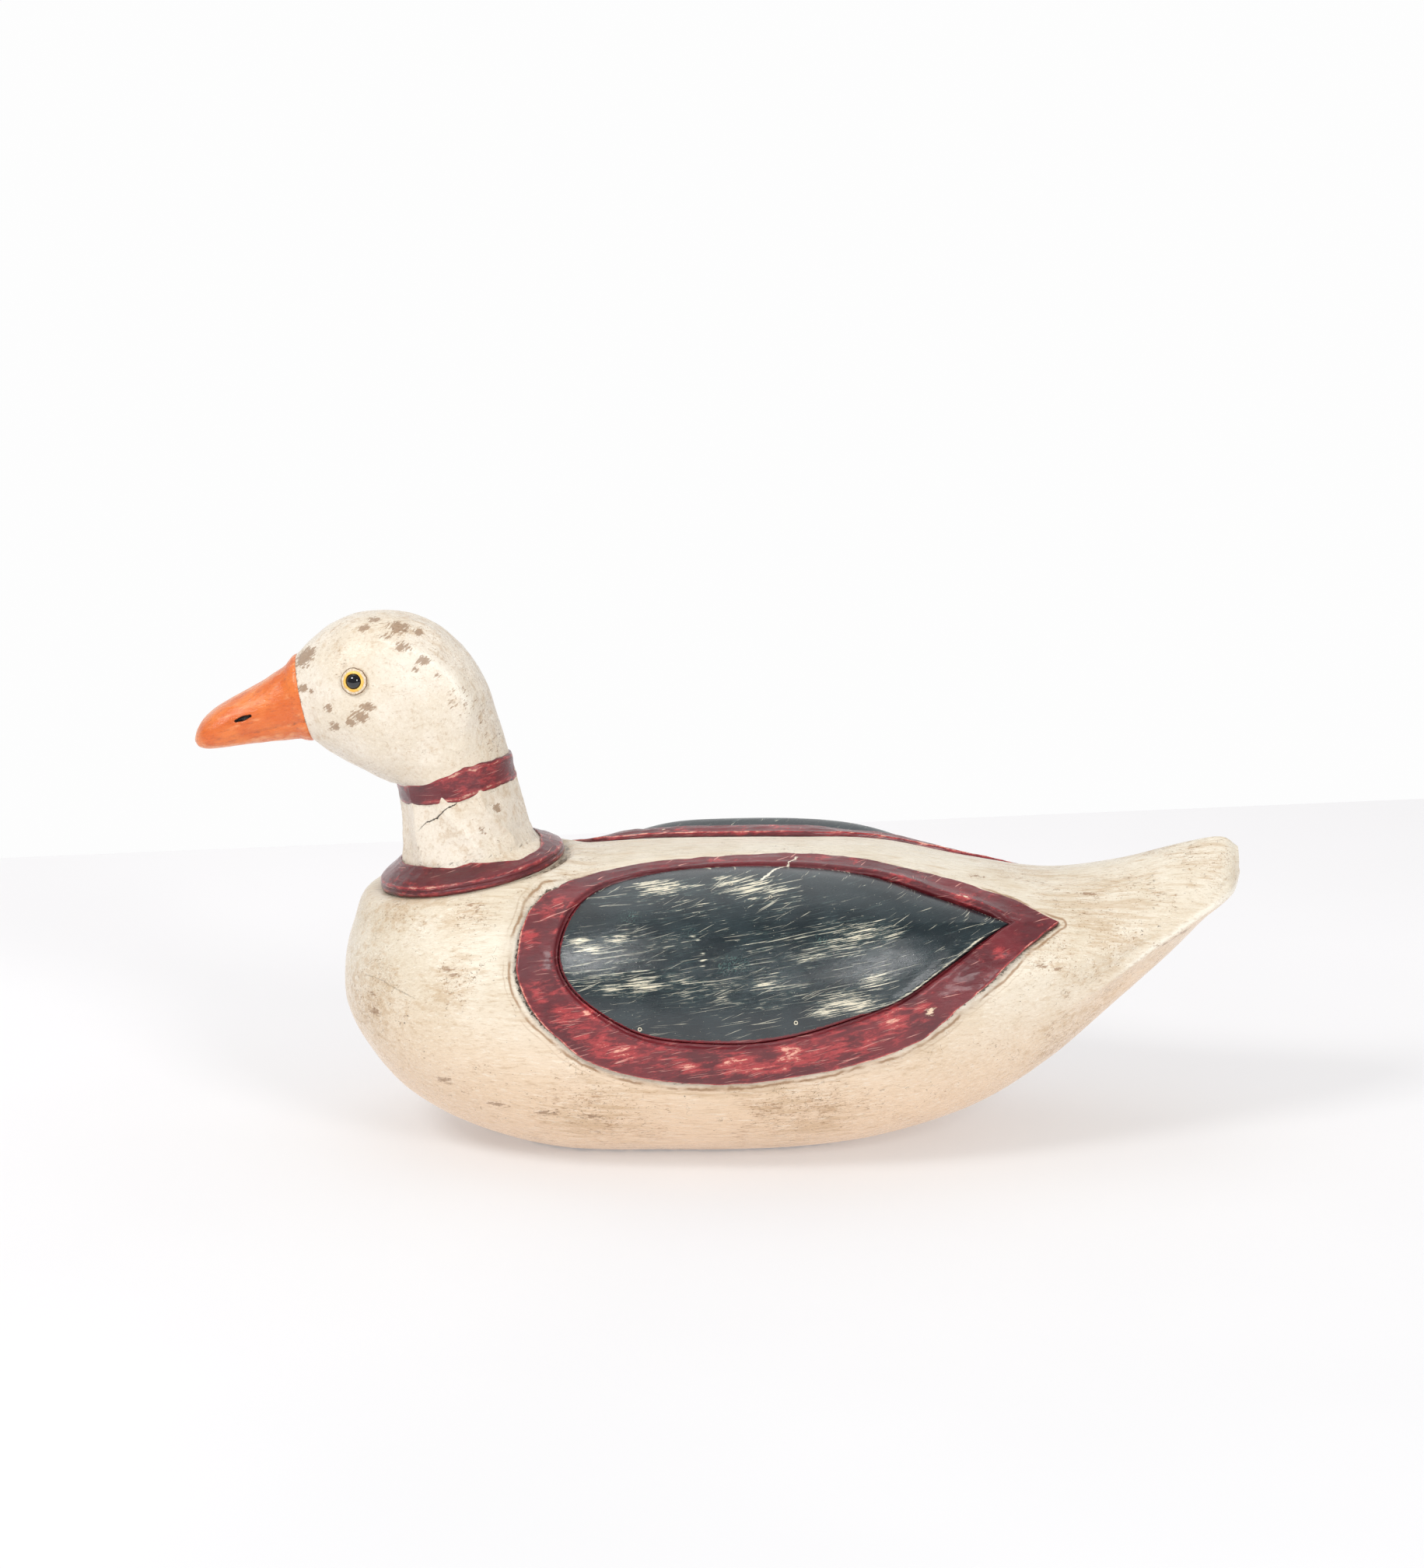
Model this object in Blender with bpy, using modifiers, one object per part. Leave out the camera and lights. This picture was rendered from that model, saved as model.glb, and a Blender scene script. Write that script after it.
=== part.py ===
"""Floating duck decoy: a carved wooden duck with let-in wing boards and a head that turns.

Metres, +Z up. The bill points along -X, the tail along +X, and the duck stands on its flat bottom.
Dimensions are written in millimetres and scaled by MM.
"""
import math

import bmesh
import bpy
import numpy as np
from mathutils import Matrix, Vector

MM = 0.001
GAP = 0.3

# Body, one row per cross-section, from breast to tail: place along X, top, keel, half width,
# height of the widest line, and how square the section is above and below that line.
BODY_SECTIONS = (
    (-136.6, 62.0, 57.5, 3.0, 60.0, 2.0, 2.0),
    (-134.6, 75.5, 47.5, 20.0, 59.5, 2.0, 2.0),
    (-127.5, 90.5, 35.0, 36.0, 58.5, 2.0, 2.0),
    (-113.0, 98.5, 18.0, 50.0, 57.0, 2.1, 2.0),
    (-90.0, 105.0, 5.5, 60.5, 55.5, 2.1, 2.1),
    (-58.0, 104.5, -2.5, 66.5, 54.5, 2.1, 2.2),
    (-20.0, 107.5, -3.5, 69.0, 54.5, 2.1, 2.2),
    (20.0, 108.3, -3.0, 69.0, 55.0, 2.1, 2.2),
    (58.0, 107.0, 1.5, 65.5, 58.5, 2.1, 2.2),
    (92.0, 101.0, 11.0, 57.0, 65.0, 1.9, 2.1),
    (122.0, 97.8, 29.0, 46.0, 72.0, 1.8, 2.0),
    (148.0, 102.0, 52.0, 35.5, 79.5, 1.6, 1.9),
    (170.0, 108.5, 72.0, 26.0, 87.0, 1.5, 1.8),
    (184.0, 111.0, 86.0, 16.0, 94.0, 1.5, 1.7),
    (190.5, 107.5, 98.0, 5.0, 102.0, 1.6, 1.7),
)
BODY_RINGS = 38
BODY_AROUND = 36

# Head, one row per section, from the neck joint round to the bill root: the point on the nape or
# crown (x, z), the point on the throat or jaw (x, z), half width, and how square the section is.
HEAD_SECTIONS = (
    (-74.9, 139.8, -117.7, 131.7, 21.8, 2.0),
    (-77.1, 147.3, -121.5, 132.7, 22.0, 2.0),
    (-79.9, 157.5, -125.0, 134.8, 22.8, 2.1),
    (-84.4, 169.5, -128.5, 136.8, 24.0, 2.2),
    (-91.0, 180.0, -131.5, 138.5, 24.8, 2.2),
    (-102.0, 190.3, -134.2, 140.0, 25.0, 2.2),
    (-116.0, 194.8, -137.0, 141.8, 24.5, 2.2),
    (-130.5, 193.7, -140.0, 143.7, 22.5, 2.2),
    (-142.3, 187.3, -143.0, 145.8, 18.5, 2.2),
    (-152.3, 178.3, -146.0, 147.7, 13.8, 2.2),
)
HEAD_RINGS = 21
HEAD_AROUND = 24

# Bill, from its root to its tip, in the same form as the head.
BILL_SECTIONS = (
    (-152.8, 178.3, -146.3, 147.5, 13.8, 2.2),
    (-158.0, 173.7, -152.3, 147.5, 12.4, 2.2),
    (-165.0, 168.7, -160.0, 147.1, 11.6, 2.3),
    (-173.0, 164.1, -168.5, 146.3, 11.6, 2.4),
    (-180.5, 159.8, -177.0, 145.1, 11.9, 2.5),
    (-185.5, 155.8, -183.0, 144.6, 10.8, 2.5),
    (-188.3, 151.7, -187.0, 144.9, 7.5, 2.4),
    (-189.3, 148.7, -189.0, 146.3, 3.0, 2.2),
)
BILL_RINGS = 15
BILL_AROUND = 18

# Neck: everything on it is turned about one axis, which leans forward by NECK_LEAN from vertical and
# starts at the middle of the round seat on the body. Heights on the neck are measured from that seat.
SEAT_CENTRE = (-89.1, 0.0, 98.4)
NECK_LEAN = 10.6
SEAT_RADIUS = 36.6
SEAT_BOSS_RADIUS = 35.4
BOSS_HEIGHT = 11.0
BOSS_ABOVE = 1.0
COLLAR_RADIUS = 34.3
COLLAR_EDGE = 3.6
COLLAR_HEIGHT = 8.4
COLLAR_WIDEST = 2.0
NECK_FOOT_RADIUS = 24.6
NECK_FOOT_TOP = 9.0
NECK_MIDDLE = (23.2, 15.0)
NECK_WAIST_RADIUS = 22.0
NECK_UNDER_RING = (22.4, 24.0)
RING_BOTTOM = 29.4
RING_TOP = 38.0
RING_RADIUS = 22.9
SPIGOT_RADIUS = 18.0
HEAD_JOINT = 34.0

# Head fixing: a bolt up the neck axis, nut and washer in a plugged bore under the body.
BOLT_RADIUS = 4.0
BOLT_BOTTOM = -93.0
BOLT_TOP = 62.0
WASHER_RADIUS = 11.0
NUT_ACROSS_CORNERS = 15.0
BORE_RADIUS = 12.5
BORE_CEILING = -76.0
WASHER_THICKNESS = 2.0
NUT_HEIGHT = 6.5
PLUG_LENGTH = 30.0
PLUG_BELOW_BOLT = 2.0
TURN_CLEARANCE = 0.5
# Heights between which the cutters on the neck axis run.
SEAT_CUT = (0.0, 20.0)
BOLT_HOLE = (-110.0, 10.0)
PLUG_BORE = (-120.0, BORE_CEILING)
POST_BORE = (-5.0, 50.0)

# Wing boards, from the rear tip over the top to the front and back along the bottom: the outer edge
# of the rim and the edge of the panel, each as a place along X and an angle round the body section.
WING_OUTLINE = (
    (122.0, 39.0, 104.0, 42.0),
    (106.0, 57.0, 93.0, 50.5),
    (86.0, 67.0, 79.0, 56.5),
    (62.0, 73.0, 58.0, 64.5),
    (32.0, 78.0, 31.0, 70.0),
    (2.0, 76.5, 4.0, 70.5),
    (-28.0, 73.0, -20.0, 68.0),
    (-52.0, 66.0, -39.0, 62.5),
    (-66.0, 54.0, -50.0, 52.0),
    (-72.0, 33.0, -55.0, 34.0),
    (-69.0, 15.5, -52.0, 21.0),
    (-57.0, 1.0, -41.5, 10.0),
    (-36.0, -9.5, -25.0, 1.5),
    (-8.0, -14.0, -3.0, -0.5),
    (22.0, -13.0, 22.0, 0.0),
    (50.0, -10.0, 45.0, 4.0),
    (75.0, -5.5, 65.0, 10.0),
    (94.0, 8.0, 82.0, 22.5),
    (109.5, 26.0, 94.0, 33.5),
    (122.0, 39.0, 104.0, 42.0),
)
WING_POINTS = 48
WING_MIDDLE = (18.0, 35.0)
WING_DEPTH = 3.2
POCKET_ABOVE = 4.0
# Shares across the rim where its flat bottom and its pocket have a ring of points.
RIM_BOTTOM = (1.0, 0.78, 0.22, 0.0)
# Height over the body's surface: across the rim from its outer edge, then across the panel.
RIM_PROFILE = ((0.0, 0.7), (0.22, 1.7), (0.78, 1.8), (1.0, 1.0))
PANEL_PROFILE = ((0.0, 0.9), (0.12, 3.0), (0.35, 5.0), (0.65, 5.8))
PIN_PLACES = ((5.0, 56.0), (18.8, 50.0), (-27.0, 4.5), (27.3, 6.0))
PIN_SHANK_RADIUS = 0.7
PIN_HEAD_RADIUS = 1.1
PIN_HEAD_HEIGHT = 0.8
PIN_LENGTH = 11.0
PANEL_HOLE = (-8.0, 12.0)
RAY_HEIGHT = 20.0

# Eyes: set square to the side of the head.
EYE_CENTRE = (-128.9, 23.5, 173.7)
EYE_AXIS = (-0.17, 0.97, 0.17)
EYE_SOCKET_RADIUS = 5.6
EYE_SOCKET_DEPTH = 4.5
# Outer sides of the eye's pieces: radius and height over the side of the head.
PUTTY_PROFILE = ((4.8, 0.5), (5.1, 0.5), (5.3, -0.3))
EYE_RING_PROFILE = ((3.4, 1.1), (4.0, 0.9), (4.5, 0.3))
BEAD_PROFILE = ((0.0, 2.2), (1.6, 1.9), (2.6, 1.2), (3.1, 0.2))

# Bill tenon and nostrils.
BILL_ROOT = (-149.4, 0.0, 162.9)
BILL_AXIS = (-0.9795, 0.0, -0.2017)
TENON_RADIUS = 6.0
TENON_LENGTH = 16.0
NOSTRIL_CENTRE = (-170.1, 11.5, 157.5)
NOSTRIL_SIZE = (3.2, 2.2, 0.95)
NOSTRIL_SLOPE = 14.0

# Underside: lead weight with two screws, and a line staple in a round recess.
BALLAST_X = 8.0
BALLAST_SIZE = (62.0, 22.0, 11.0)
BALLAST_SCREW_X = (-14.0, 30.0)
SCREW_RADIUS = 2.0
SCREW_HEAD_RADIUS = 3.8
SCREW_HEAD_TOP = 1.4
SCREW_CONE_TOP = 3.3
SCREW_LENGTH = 24.0
STAPLE_X = -48.0
STAPLE_RECESS_RADIUS = 7.0
STAPLE_RECESS_DEPTH = 6.0
STAPLE_SPAN = 8.0
STAPLE_WIRE_RADIUS = 0.9
STAPLE_CORNER = 1.6
STAPLE_LEG = 12.0


def smooth_rows(rows, places):
    """Catmull-Rom through rows of numbers, at the given row numbers."""
    table = np.array(rows, dtype=float)
    padded = np.vstack([2 * table[0] - table[1], table, 2 * table[-1] - table[-2]])
    places = np.atleast_1d(np.asarray(places, dtype=float))
    first = np.clip(places.astype(int), 0, len(table) - 2)
    t = (places - first)[:, None]
    a, b, c, d = (padded[first + k] for k in range(4))
    return b + 0.5 * t * (c - a + t * (2 * a - 5 * b + 4 * c - d + t * (3 * (b - c) + d - a)))


def body_rows(x):
    """The body's section values at places along X."""
    fine = np.linspace(0, len(BODY_SECTIONS) - 1, 600)
    places = np.interp(x, smooth_rows(BODY_SECTIONS, fine)[:, 0], fine)
    return smooth_rows(BODY_SECTIONS, places)


def body_point(x, angle):
    """Points of the body's surface; angle is 90 at the back, 0 at the widest line, -90 at the keel."""
    x, angle = np.broadcast_arrays(np.asarray(x, float), np.asarray(angle, float))
    rows = body_rows(x.ravel())
    radians = np.radians(angle.ravel())
    top, keel, half, wide, upper, lower = rows[:, 1:].T
    power = np.where(radians >= 0, upper, lower)
    reach = np.where(radians >= 0, top - wide, keel - wide)
    out = half * np.abs(np.cos(radians)) ** (2 / power)
    up = wide + reach * np.abs(np.sin(radians)) ** (2 / power)
    return np.stack([x.ravel(), out, up], axis=1).reshape(x.shape + (3,))


def ring_between(top, bottom, half, power, count):
    """A closed section ring between two points of the XZ plane."""
    angles = np.linspace(0, 2 * math.pi, count, endpoint=False)
    middle = (np.array(top) + np.array(bottom)) / 2
    reach = (np.array(top) - np.array(bottom)) / 2
    up = np.sign(np.cos(angles)) * np.abs(np.cos(angles)) ** (2 / power)
    out = np.sign(np.sin(angles)) * np.abs(np.sin(angles)) ** (2 / power)
    flat = middle + up[:, None] * reach
    return np.stack([flat[:, 0], half * out, flat[:, 1]], axis=1)


def loft(rings):
    """A closed mesh over section rings of equal length, capped at both ends."""
    mesh = bmesh.new()
    rows = [[mesh.verts.new(point * MM) for point in ring] for ring in rings]
    count = len(rows[0])
    for near, far in zip(rows, rows[1:]):
        for i in range(count):
            j = (i + 1) % count
            mesh.faces.new((near[i], near[j], far[j], far[i]))
    mesh.faces.new(rows[0][::-1])
    mesh.faces.new(rows[-1])
    bmesh.ops.recalc_face_normals(mesh, faces=mesh.faces)
    return mesh


def new_object(name, mesh, material):
    """An object with its one material, in the decoy's collection."""
    if isinstance(mesh, bmesh.types.BMesh):
        data = bpy.data.meshes.new(name)
        mesh.to_mesh(data)
        mesh.free()
        mesh = data
    thing = bpy.data.objects.new(name, mesh)
    thing.data.materials.append(material)
    parts.objects.link(thing)
    return thing


def paint(name, colour, roughness, metallic=0.0):
    """A Principled material."""
    material = bpy.data.materials.new(name)
    material.use_nodes = True
    shader = material.node_tree.nodes["Principled BSDF"]
    shader.inputs["Base Color"].default_value = (*colour, 1.0)
    shader.inputs["Roughness"].default_value = roughness
    shader.inputs["Metallic"].default_value = metallic
    return material


def shade_round(thing, angle=35.0):
    """Smooth shading with creases kept sharp."""
    thing.data.shade_smooth()
    thing.data.set_sharp_from_angle(angle=math.radians(angle))


def mirrored(point, side):
    """A millimetre point in metres, on the left (-Y) or the right (+Y)."""
    return Vector((point[0], side * point[1], point[2])) * MM


def facing(axis, side=1):
    """The rotation that turns +Z to an axis."""
    return Vector((axis[0], side * axis[1], axis[2])).to_track_quat("Z", "Y").to_matrix().to_4x4()


def cut(thing, cutter, operation="DIFFERENCE"):
    """Take a cutter out of an object, or join it on, and keep the cutter as a hidden guide."""
    for collection in list(cutter.users_collection):
        collection.objects.unlink(cutter)
    cutters.objects.link(cutter)
    cutter.hide_render = True
    cutter.display_type = "WIRE"
    change = thing.modifiers.new(cutter.name, "BOOLEAN")
    change.operation = operation
    change.solver = "EXACT"
    change.object = cutter


def turned(name, profile, place, material, steps=32, closed=False):
    """A turned piece: a profile of (radius, height) down its outer side, swept round +Z of place."""
    mesh = bpy.data.meshes.new(name)
    points = [(radius * MM, 0.0, height * MM) for radius, height in profile]
    edges = [(i, i + 1) for i in range(len(points) - 1)]
    if closed:
        edges.append((len(points) - 1, 0))
    mesh.from_pydata(points, edges, [])
    thing = new_object(name, mesh, material)
    screw = thing.modifiers.new("turn", "SCREW")
    screw.steps = steps
    screw.render_steps = steps
    screw.use_merge_vertices = True
    screw.merge_threshold = 0.00001
    screw.use_smooth_shade = True
    thing.matrix_world = place
    return thing


def rod_cutter(name, radius, bottom, top, place, count=24):
    """A cylinder cutter between two heights on +Z of place."""
    mesh = bmesh.new()
    bmesh.ops.create_cone(
        mesh, cap_ends=True, segments=count, radius1=radius * MM, radius2=radius * MM,
        depth=(top - bottom) * MM, matrix=Matrix.Translation((0, 0, (top + bottom) / 2 * MM)))
    thing = new_object(name, mesh, cutter_paint)
    thing.matrix_world = place
    return thing


def ride_on_neck(thing):
    """Parent a piece to the neck pivot without moving it."""
    thing.parent = neck_pivot
    thing.matrix_parent_inverse = neck_place.inverted()


def body_normal(x, angle):
    """Unit normals of the body's surface."""
    along = body_point(x + 0.5, angle) - body_point(x - 0.5, angle)
    around = body_point(x, angle + 0.5) - body_point(x, angle - 0.5)
    normal = np.cross(around, along)
    return normal / np.linalg.norm(normal, axis=-1, keepdims=True)


def wing_loop(across, inward, proud, grow=0.0):
    """
    One closed ring of points of a wing board. Across runs from 0 at the rim's outer edge to 1 at the
    panel's edge, inward from 0 at the panel's edge to 1 at its middle, proud is the height over the
    body's surface, and grow moves the ring outward in the surface.
    """
    rows = smooth_rows(WING_OUTLINE, np.linspace(0, len(WING_OUTLINE) - 1, WING_POINTS + 1))[:-1]
    flat = rows[:, :2] * (1 - across) + rows[:, 2:] * across
    flat = flat * (1 - inward) + np.array(WING_MIDDLE) * inward
    points = body_point(flat[:, 0], flat[:, 1])
    normals = body_normal(flat[:, 0], flat[:, 1])
    tangents = np.roll(points, -1, axis=0) - np.roll(points, 1, axis=0)
    sideways = np.cross(tangents, normals)
    sideways /= np.linalg.norm(sideways, axis=1, keepdims=True)
    away = np.sign(np.sum(sideways * (points - points.mean(axis=0)), axis=1, keepdims=True))
    return points + normals * proud + sideways * away * grow


def wing_solid(loops, side, closed_middle):
    """A solid from rings of points: a ring-shaped one, or one with a point at each middle."""
    mesh = bmesh.new()
    rows = [[mesh.verts.new(mirrored(point, side)) for point in loop] for loop in loops]
    pairs = list(zip(rows, rows[1:]))
    if closed_middle:
        low, high = (mesh.verts.new(mirrored(point, side)) for point in closed_middle)
        for i in range(WING_POINTS):
            j = (i + 1) % WING_POINTS
            mesh.faces.new((rows[0][i], rows[0][j], low))
            mesh.faces.new((rows[-1][i], rows[-1][j], high))
    else:
        pairs.append((rows[-1], rows[0]))
    for near, far in pairs:
        for i in range(WING_POINTS):
            j = (i + 1) % WING_POINTS
            mesh.faces.new((near[i], near[j], far[j], far[i]))
    bmesh.ops.recalc_face_normals(mesh, faces=mesh.faces)
    return mesh


def wing_middle(proud):
    """The middle point of the panel, at a height over the body's surface."""
    x, angle = (np.array([value]) for value in WING_MIDDLE)
    return (body_point(x, angle) + body_normal(x, angle) * proud)[0]


def rim_mesh(side):
    """The red rim of a wing board."""
    loops = [wing_loop(across, 0, -WING_DEPTH) for across in RIM_BOTTOM]
    loops += [wing_loop(across, 0, proud) for across, proud in RIM_PROFILE]
    return wing_solid(loops, side, None)


def panel_mesh(side):
    """The dark panel inside the rim."""
    inward = [place for place, _ in PANEL_PROFILE]
    loops = [wing_loop(1, place, -WING_DEPTH, -GAP * (place == 0)) for place in reversed(inward)]
    loops += [wing_loop(1, place, proud, -GAP * (place == 0)) for place, proud in PANEL_PROFILE]
    return wing_solid(loops, side, (wing_middle(-WING_DEPTH), wing_middle(PANEL_PROFILE[-1][1])))


def pocket_mesh(side):
    """The pocket that a wing board sits in, a gap larger all round and open above the body."""
    floor = -WING_DEPTH - GAP
    inward = [place for place, _ in PANEL_PROFILE]
    loops = [wing_loop(1, place, floor) for place in reversed(inward)]
    loops += [wing_loop(across, 0, floor) for across in RIM_BOTTOM[1:-1]]
    loops += [wing_loop(0, 0, floor, GAP), wing_loop(0, 0, POCKET_ABOVE, GAP), wing_loop(1, 0, POCKET_ABOVE)]
    loops += [wing_loop(1, place, POCKET_ABOVE) for place in inward[1:]]
    return wing_solid(loops, side, (wing_middle(floor), wing_middle(POCKET_ABOVE)))


def pin_place(x, angle, side):
    """A pin's frame: +Z along the surface normal, origin on the body's surface."""
    x, angle = np.array([x]), np.array([angle])
    point = body_point(x, angle)[0]
    normal = body_normal(x, angle)[0]
    return Matrix.Translation(mirrored(point, side)) @ facing(normal, side)


def panel_height(x, angle, side):
    """How far the panel stands over the body's surface at a place, found on its own mesh."""
    place = pin_place(x, angle, side)
    panel = panels[side]
    start = place @ Vector((0, 0, RAY_HEIGHT * MM))
    hit, point, _, _ = panel.ray_cast(start, -(place.to_3x3() @ Vector((0, 0, 1))))
    return (place.inverted() @ point).z / MM if hit else 0.0


for leftover in list(bpy.data.objects):
    bpy.data.objects.remove(leftover)

parts = bpy.data.collections.new("duck_decoy")
cutters = bpy.data.collections.new("cutters")
bpy.context.scene.collection.children.link(parts)
bpy.context.scene.collection.children.link(cutters)

cream = paint("cream_paint", (0.78, 0.70, 0.52), 0.45)
crimson = paint("crimson_paint", (0.24, 0.045, 0.05), 0.4)
teal = paint("dark_teal_paint", (0.035, 0.055, 0.062), 0.32)
orange = paint("orange_paint", (0.85, 0.24, 0.06), 0.4)
putty = paint("brown_putty", (0.20, 0.13, 0.08), 0.7)
yellow = paint("yellow_paint", (0.80, 0.50, 0.10), 0.35)
black_glass = paint("black_glass", (0.004, 0.004, 0.006), 0.05)
brass = paint("brass", (0.62, 0.48, 0.24), 0.4, 1.0)
steel = paint("zinc_steel", (0.55, 0.55, 0.56), 0.38, 1.0)
lead = paint("lead", (0.22, 0.22, 0.23), 0.6, 1.0)
bare_wood = paint("bare_wood", (0.52, 0.36, 0.20), 0.6)
cutter_paint = paint("cutter", (0.5, 0.5, 0.5), 0.5)

neck_place = Matrix.Translation(Vector(SEAT_CENTRE) * MM) @ Matrix.Rotation(
    math.radians(-NECK_LEAN), 4, "Y")
neck_pivot = bpy.data.objects.new("neck_pivot", None)
neck_pivot.matrix_world = neck_place
parts.objects.link(neck_pivot)


def body_mesh():
    """The body's outer shape with its flat bottom, before anything is cut from it."""
    first, last = BODY_SECTIONS[0][0], BODY_SECTIONS[-1][0]
    turns = np.linspace(0, math.pi, BODY_RINGS)
    places = (first + last) / 2 - (last - first) / 2 * np.cos(turns)
    angles = np.linspace(90, -90, BODY_AROUND // 2 + 1)
    rings = []
    for x in places:
        half = body_point(np.full(angles.shape, x), angles)
        other = half[-2:0:-1] * (1, -1, 1)
        rings.append(np.vstack([half, other]))
    mesh = loft(rings)
    bottom = bmesh.ops.bisect_plane(
        mesh, geom=mesh.verts[:] + mesh.edges[:] + mesh.faces[:], plane_co=(0, 0, 0),
        plane_no=(0, 0, -1), clear_outer=True)
    rim_edges = [edge for edge in bottom["geom_cut"] if isinstance(edge, bmesh.types.BMEdge)]
    bmesh.ops.contextual_create(mesh, geom=rim_edges)
    bmesh.ops.recalc_face_normals(mesh, faces=mesh.faces)
    return mesh


def make_body():
    """The solid body, with the seat for the collar, pockets and bores."""
    body = new_object("body_block", body_mesh(), cream)

    boss = bmesh.new()
    bmesh.ops.create_cone(
        boss, cap_ends=True, segments=48, radius1=(SEAT_BOSS_RADIUS + BOSS_HEIGHT / 2) * MM,
        radius2=SEAT_BOSS_RADIUS * MM, depth=BOSS_HEIGHT * MM,
        matrix=Matrix.Translation((0, 0, (BOSS_ABOVE - BOSS_HEIGHT / 2) * MM)))
    boss = new_object("seat_boss", boss, cutter_paint)
    boss.matrix_world = neck_place
    cut(body, boss, "UNION")
    cut(body, rod_cutter("seat_cutter", SEAT_RADIUS, *SEAT_CUT, neck_place, 48))
    cut(body, rod_cutter("bolt_hole", BOLT_RADIUS + TURN_CLEARANCE, *BOLT_HOLE, neck_place, 20))
    cut(body, rod_cutter("plug_bore", BORE_RADIUS, *PLUG_BORE, neck_place, 32))
    for side in (-1, 1):
        cut(body, new_object("wing_pocket", pocket_mesh(side), cutter_paint))
        for place in PIN_PLACES:
            hole = PIN_SHANK_RADIUS + GAP
            cut(body, rod_cutter("pin_hole", hole, -PIN_LENGTH, 0, pin_place(*place, side), 8))

    length, width, height = BALLAST_SIZE
    pocket = bmesh.new()
    bmesh.ops.create_cube(pocket, size=1.0, matrix=Matrix.Translation(
        (BALLAST_X * MM, 0, 0)) @ Matrix.Diagonal(
        ((length + 2 * GAP) * MM, (width + 2 * GAP) * MM, 2 * (height + 2 * GAP) * MM, 1)))
    cut(body, new_object("ballast_pocket", pocket, cutter_paint))
    for x in BALLAST_SCREW_X:
        place = Matrix.Translation((x * MM, 0, 0))
        cut(body, rod_cutter("screw_hole", SCREW_RADIUS + GAP, 5, SCREW_LENGTH + 2, place, 12))
    place = Matrix.Translation((STAPLE_X * MM, 0, 0))
    cut(body, rod_cutter("staple_recess", STAPLE_RECESS_RADIUS, -5, STAPLE_RECESS_DEPTH, place))
    for end in (-1, 1):
        place = Matrix.Translation((STAPLE_X * MM, end * STAPLE_SPAN / 2 * MM, 0))
        hole = STAPLE_WIRE_RADIUS + GAP
        cut(body, rod_cutter("staple_hole", hole, 4, STAPLE_LEG + 3, place, 8))
    shade_round(body)


def make_wings():
    """Rims and panels let into the two sides, with their pins."""
    for side, label in ((-1, "left"), (1, "right")):
        shade_round(new_object("wing_rim_" + label, rim_mesh(side), crimson))
        panel = new_object("wing_panel_" + label, panel_mesh(side), teal)
        panels[side] = panel
        bpy.context.view_layer.update()
        heights = [panel_height(*place, side) for place in PIN_PLACES]
        for number, (place, height) in enumerate(zip(PIN_PLACES, heights), start=1):
            frame = pin_place(*place, side)
            hole = PIN_SHANK_RADIUS + GAP
            cut(panel, rod_cutter("panel_hole", hole, *PANEL_HOLE, frame, 8))
            head = height + GAP
            turned(
                "wing_pin_%s_%d" % (label, number),
                ((0, head + PIN_HEAD_HEIGHT), (PIN_HEAD_RADIUS * 0.7, head + PIN_HEAD_HEIGHT * 0.75),
                 (PIN_HEAD_RADIUS, head),
                 (PIN_SHANK_RADIUS, head), (PIN_SHANK_RADIUS, 1 - PIN_LENGTH), (0, 0.3 - PIN_LENGTH)),
                frame, brass, steps=10)
        shade_round(panel)


def make_neck():
    """Collar, neck post and neck ring, all turned about the neck axis."""
    outer = COLLAR_RADIUS
    collar = turned(
        "neck_collar",
        ((NECK_FOOT_RADIUS + 0.8, COLLAR_HEIGHT), (NECK_FOOT_RADIUS + 4, COLLAR_HEIGHT - 1.4),
         (outer - 1.6, COLLAR_EDGE + 0.5), (outer - 0.4, COLLAR_EDGE - 0.6), (outer, COLLAR_WIDEST),
         (outer - 0.8, GAP), (NECK_FOOT_RADIUS + 0.4, GAP), (NECK_FOOT_RADIUS + 0.4, COLLAR_HEIGHT)),
        neck_place, crimson, steps=48, closed=True)
    post = turned(
        "neck_post",
        ((0, HEAD_JOINT), (SPIGOT_RADIUS, HEAD_JOINT), (SPIGOT_RADIUS, RING_BOTTOM),
         (NECK_WAIST_RADIUS, RING_BOTTOM), NECK_UNDER_RING, NECK_MIDDLE,
         (NECK_FOOT_RADIUS, NECK_FOOT_TOP), (NECK_FOOT_RADIUS, GAP), (0, GAP)),
        neck_place, cream, steps=40)
    cut(post, rod_cutter("post_bore", BOLT_RADIUS + GAP, *POST_BORE, neck_place, 20))
    ring = turned(
        "neck_ring",
        ((SPIGOT_RADIUS + GAP, RING_TOP - GAP), (RING_RADIUS - 0.8, RING_TOP - GAP),
         (RING_RADIUS, RING_TOP - 1.2), (RING_RADIUS, RING_BOTTOM + 1.2),
         (RING_RADIUS - 0.8, RING_BOTTOM + GAP), (SPIGOT_RADIUS + GAP, RING_BOTTOM + GAP)),
        neck_place, crimson, steps=40, closed=True)
    for piece in (collar, post, ring):
        ride_on_neck(piece)


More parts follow.
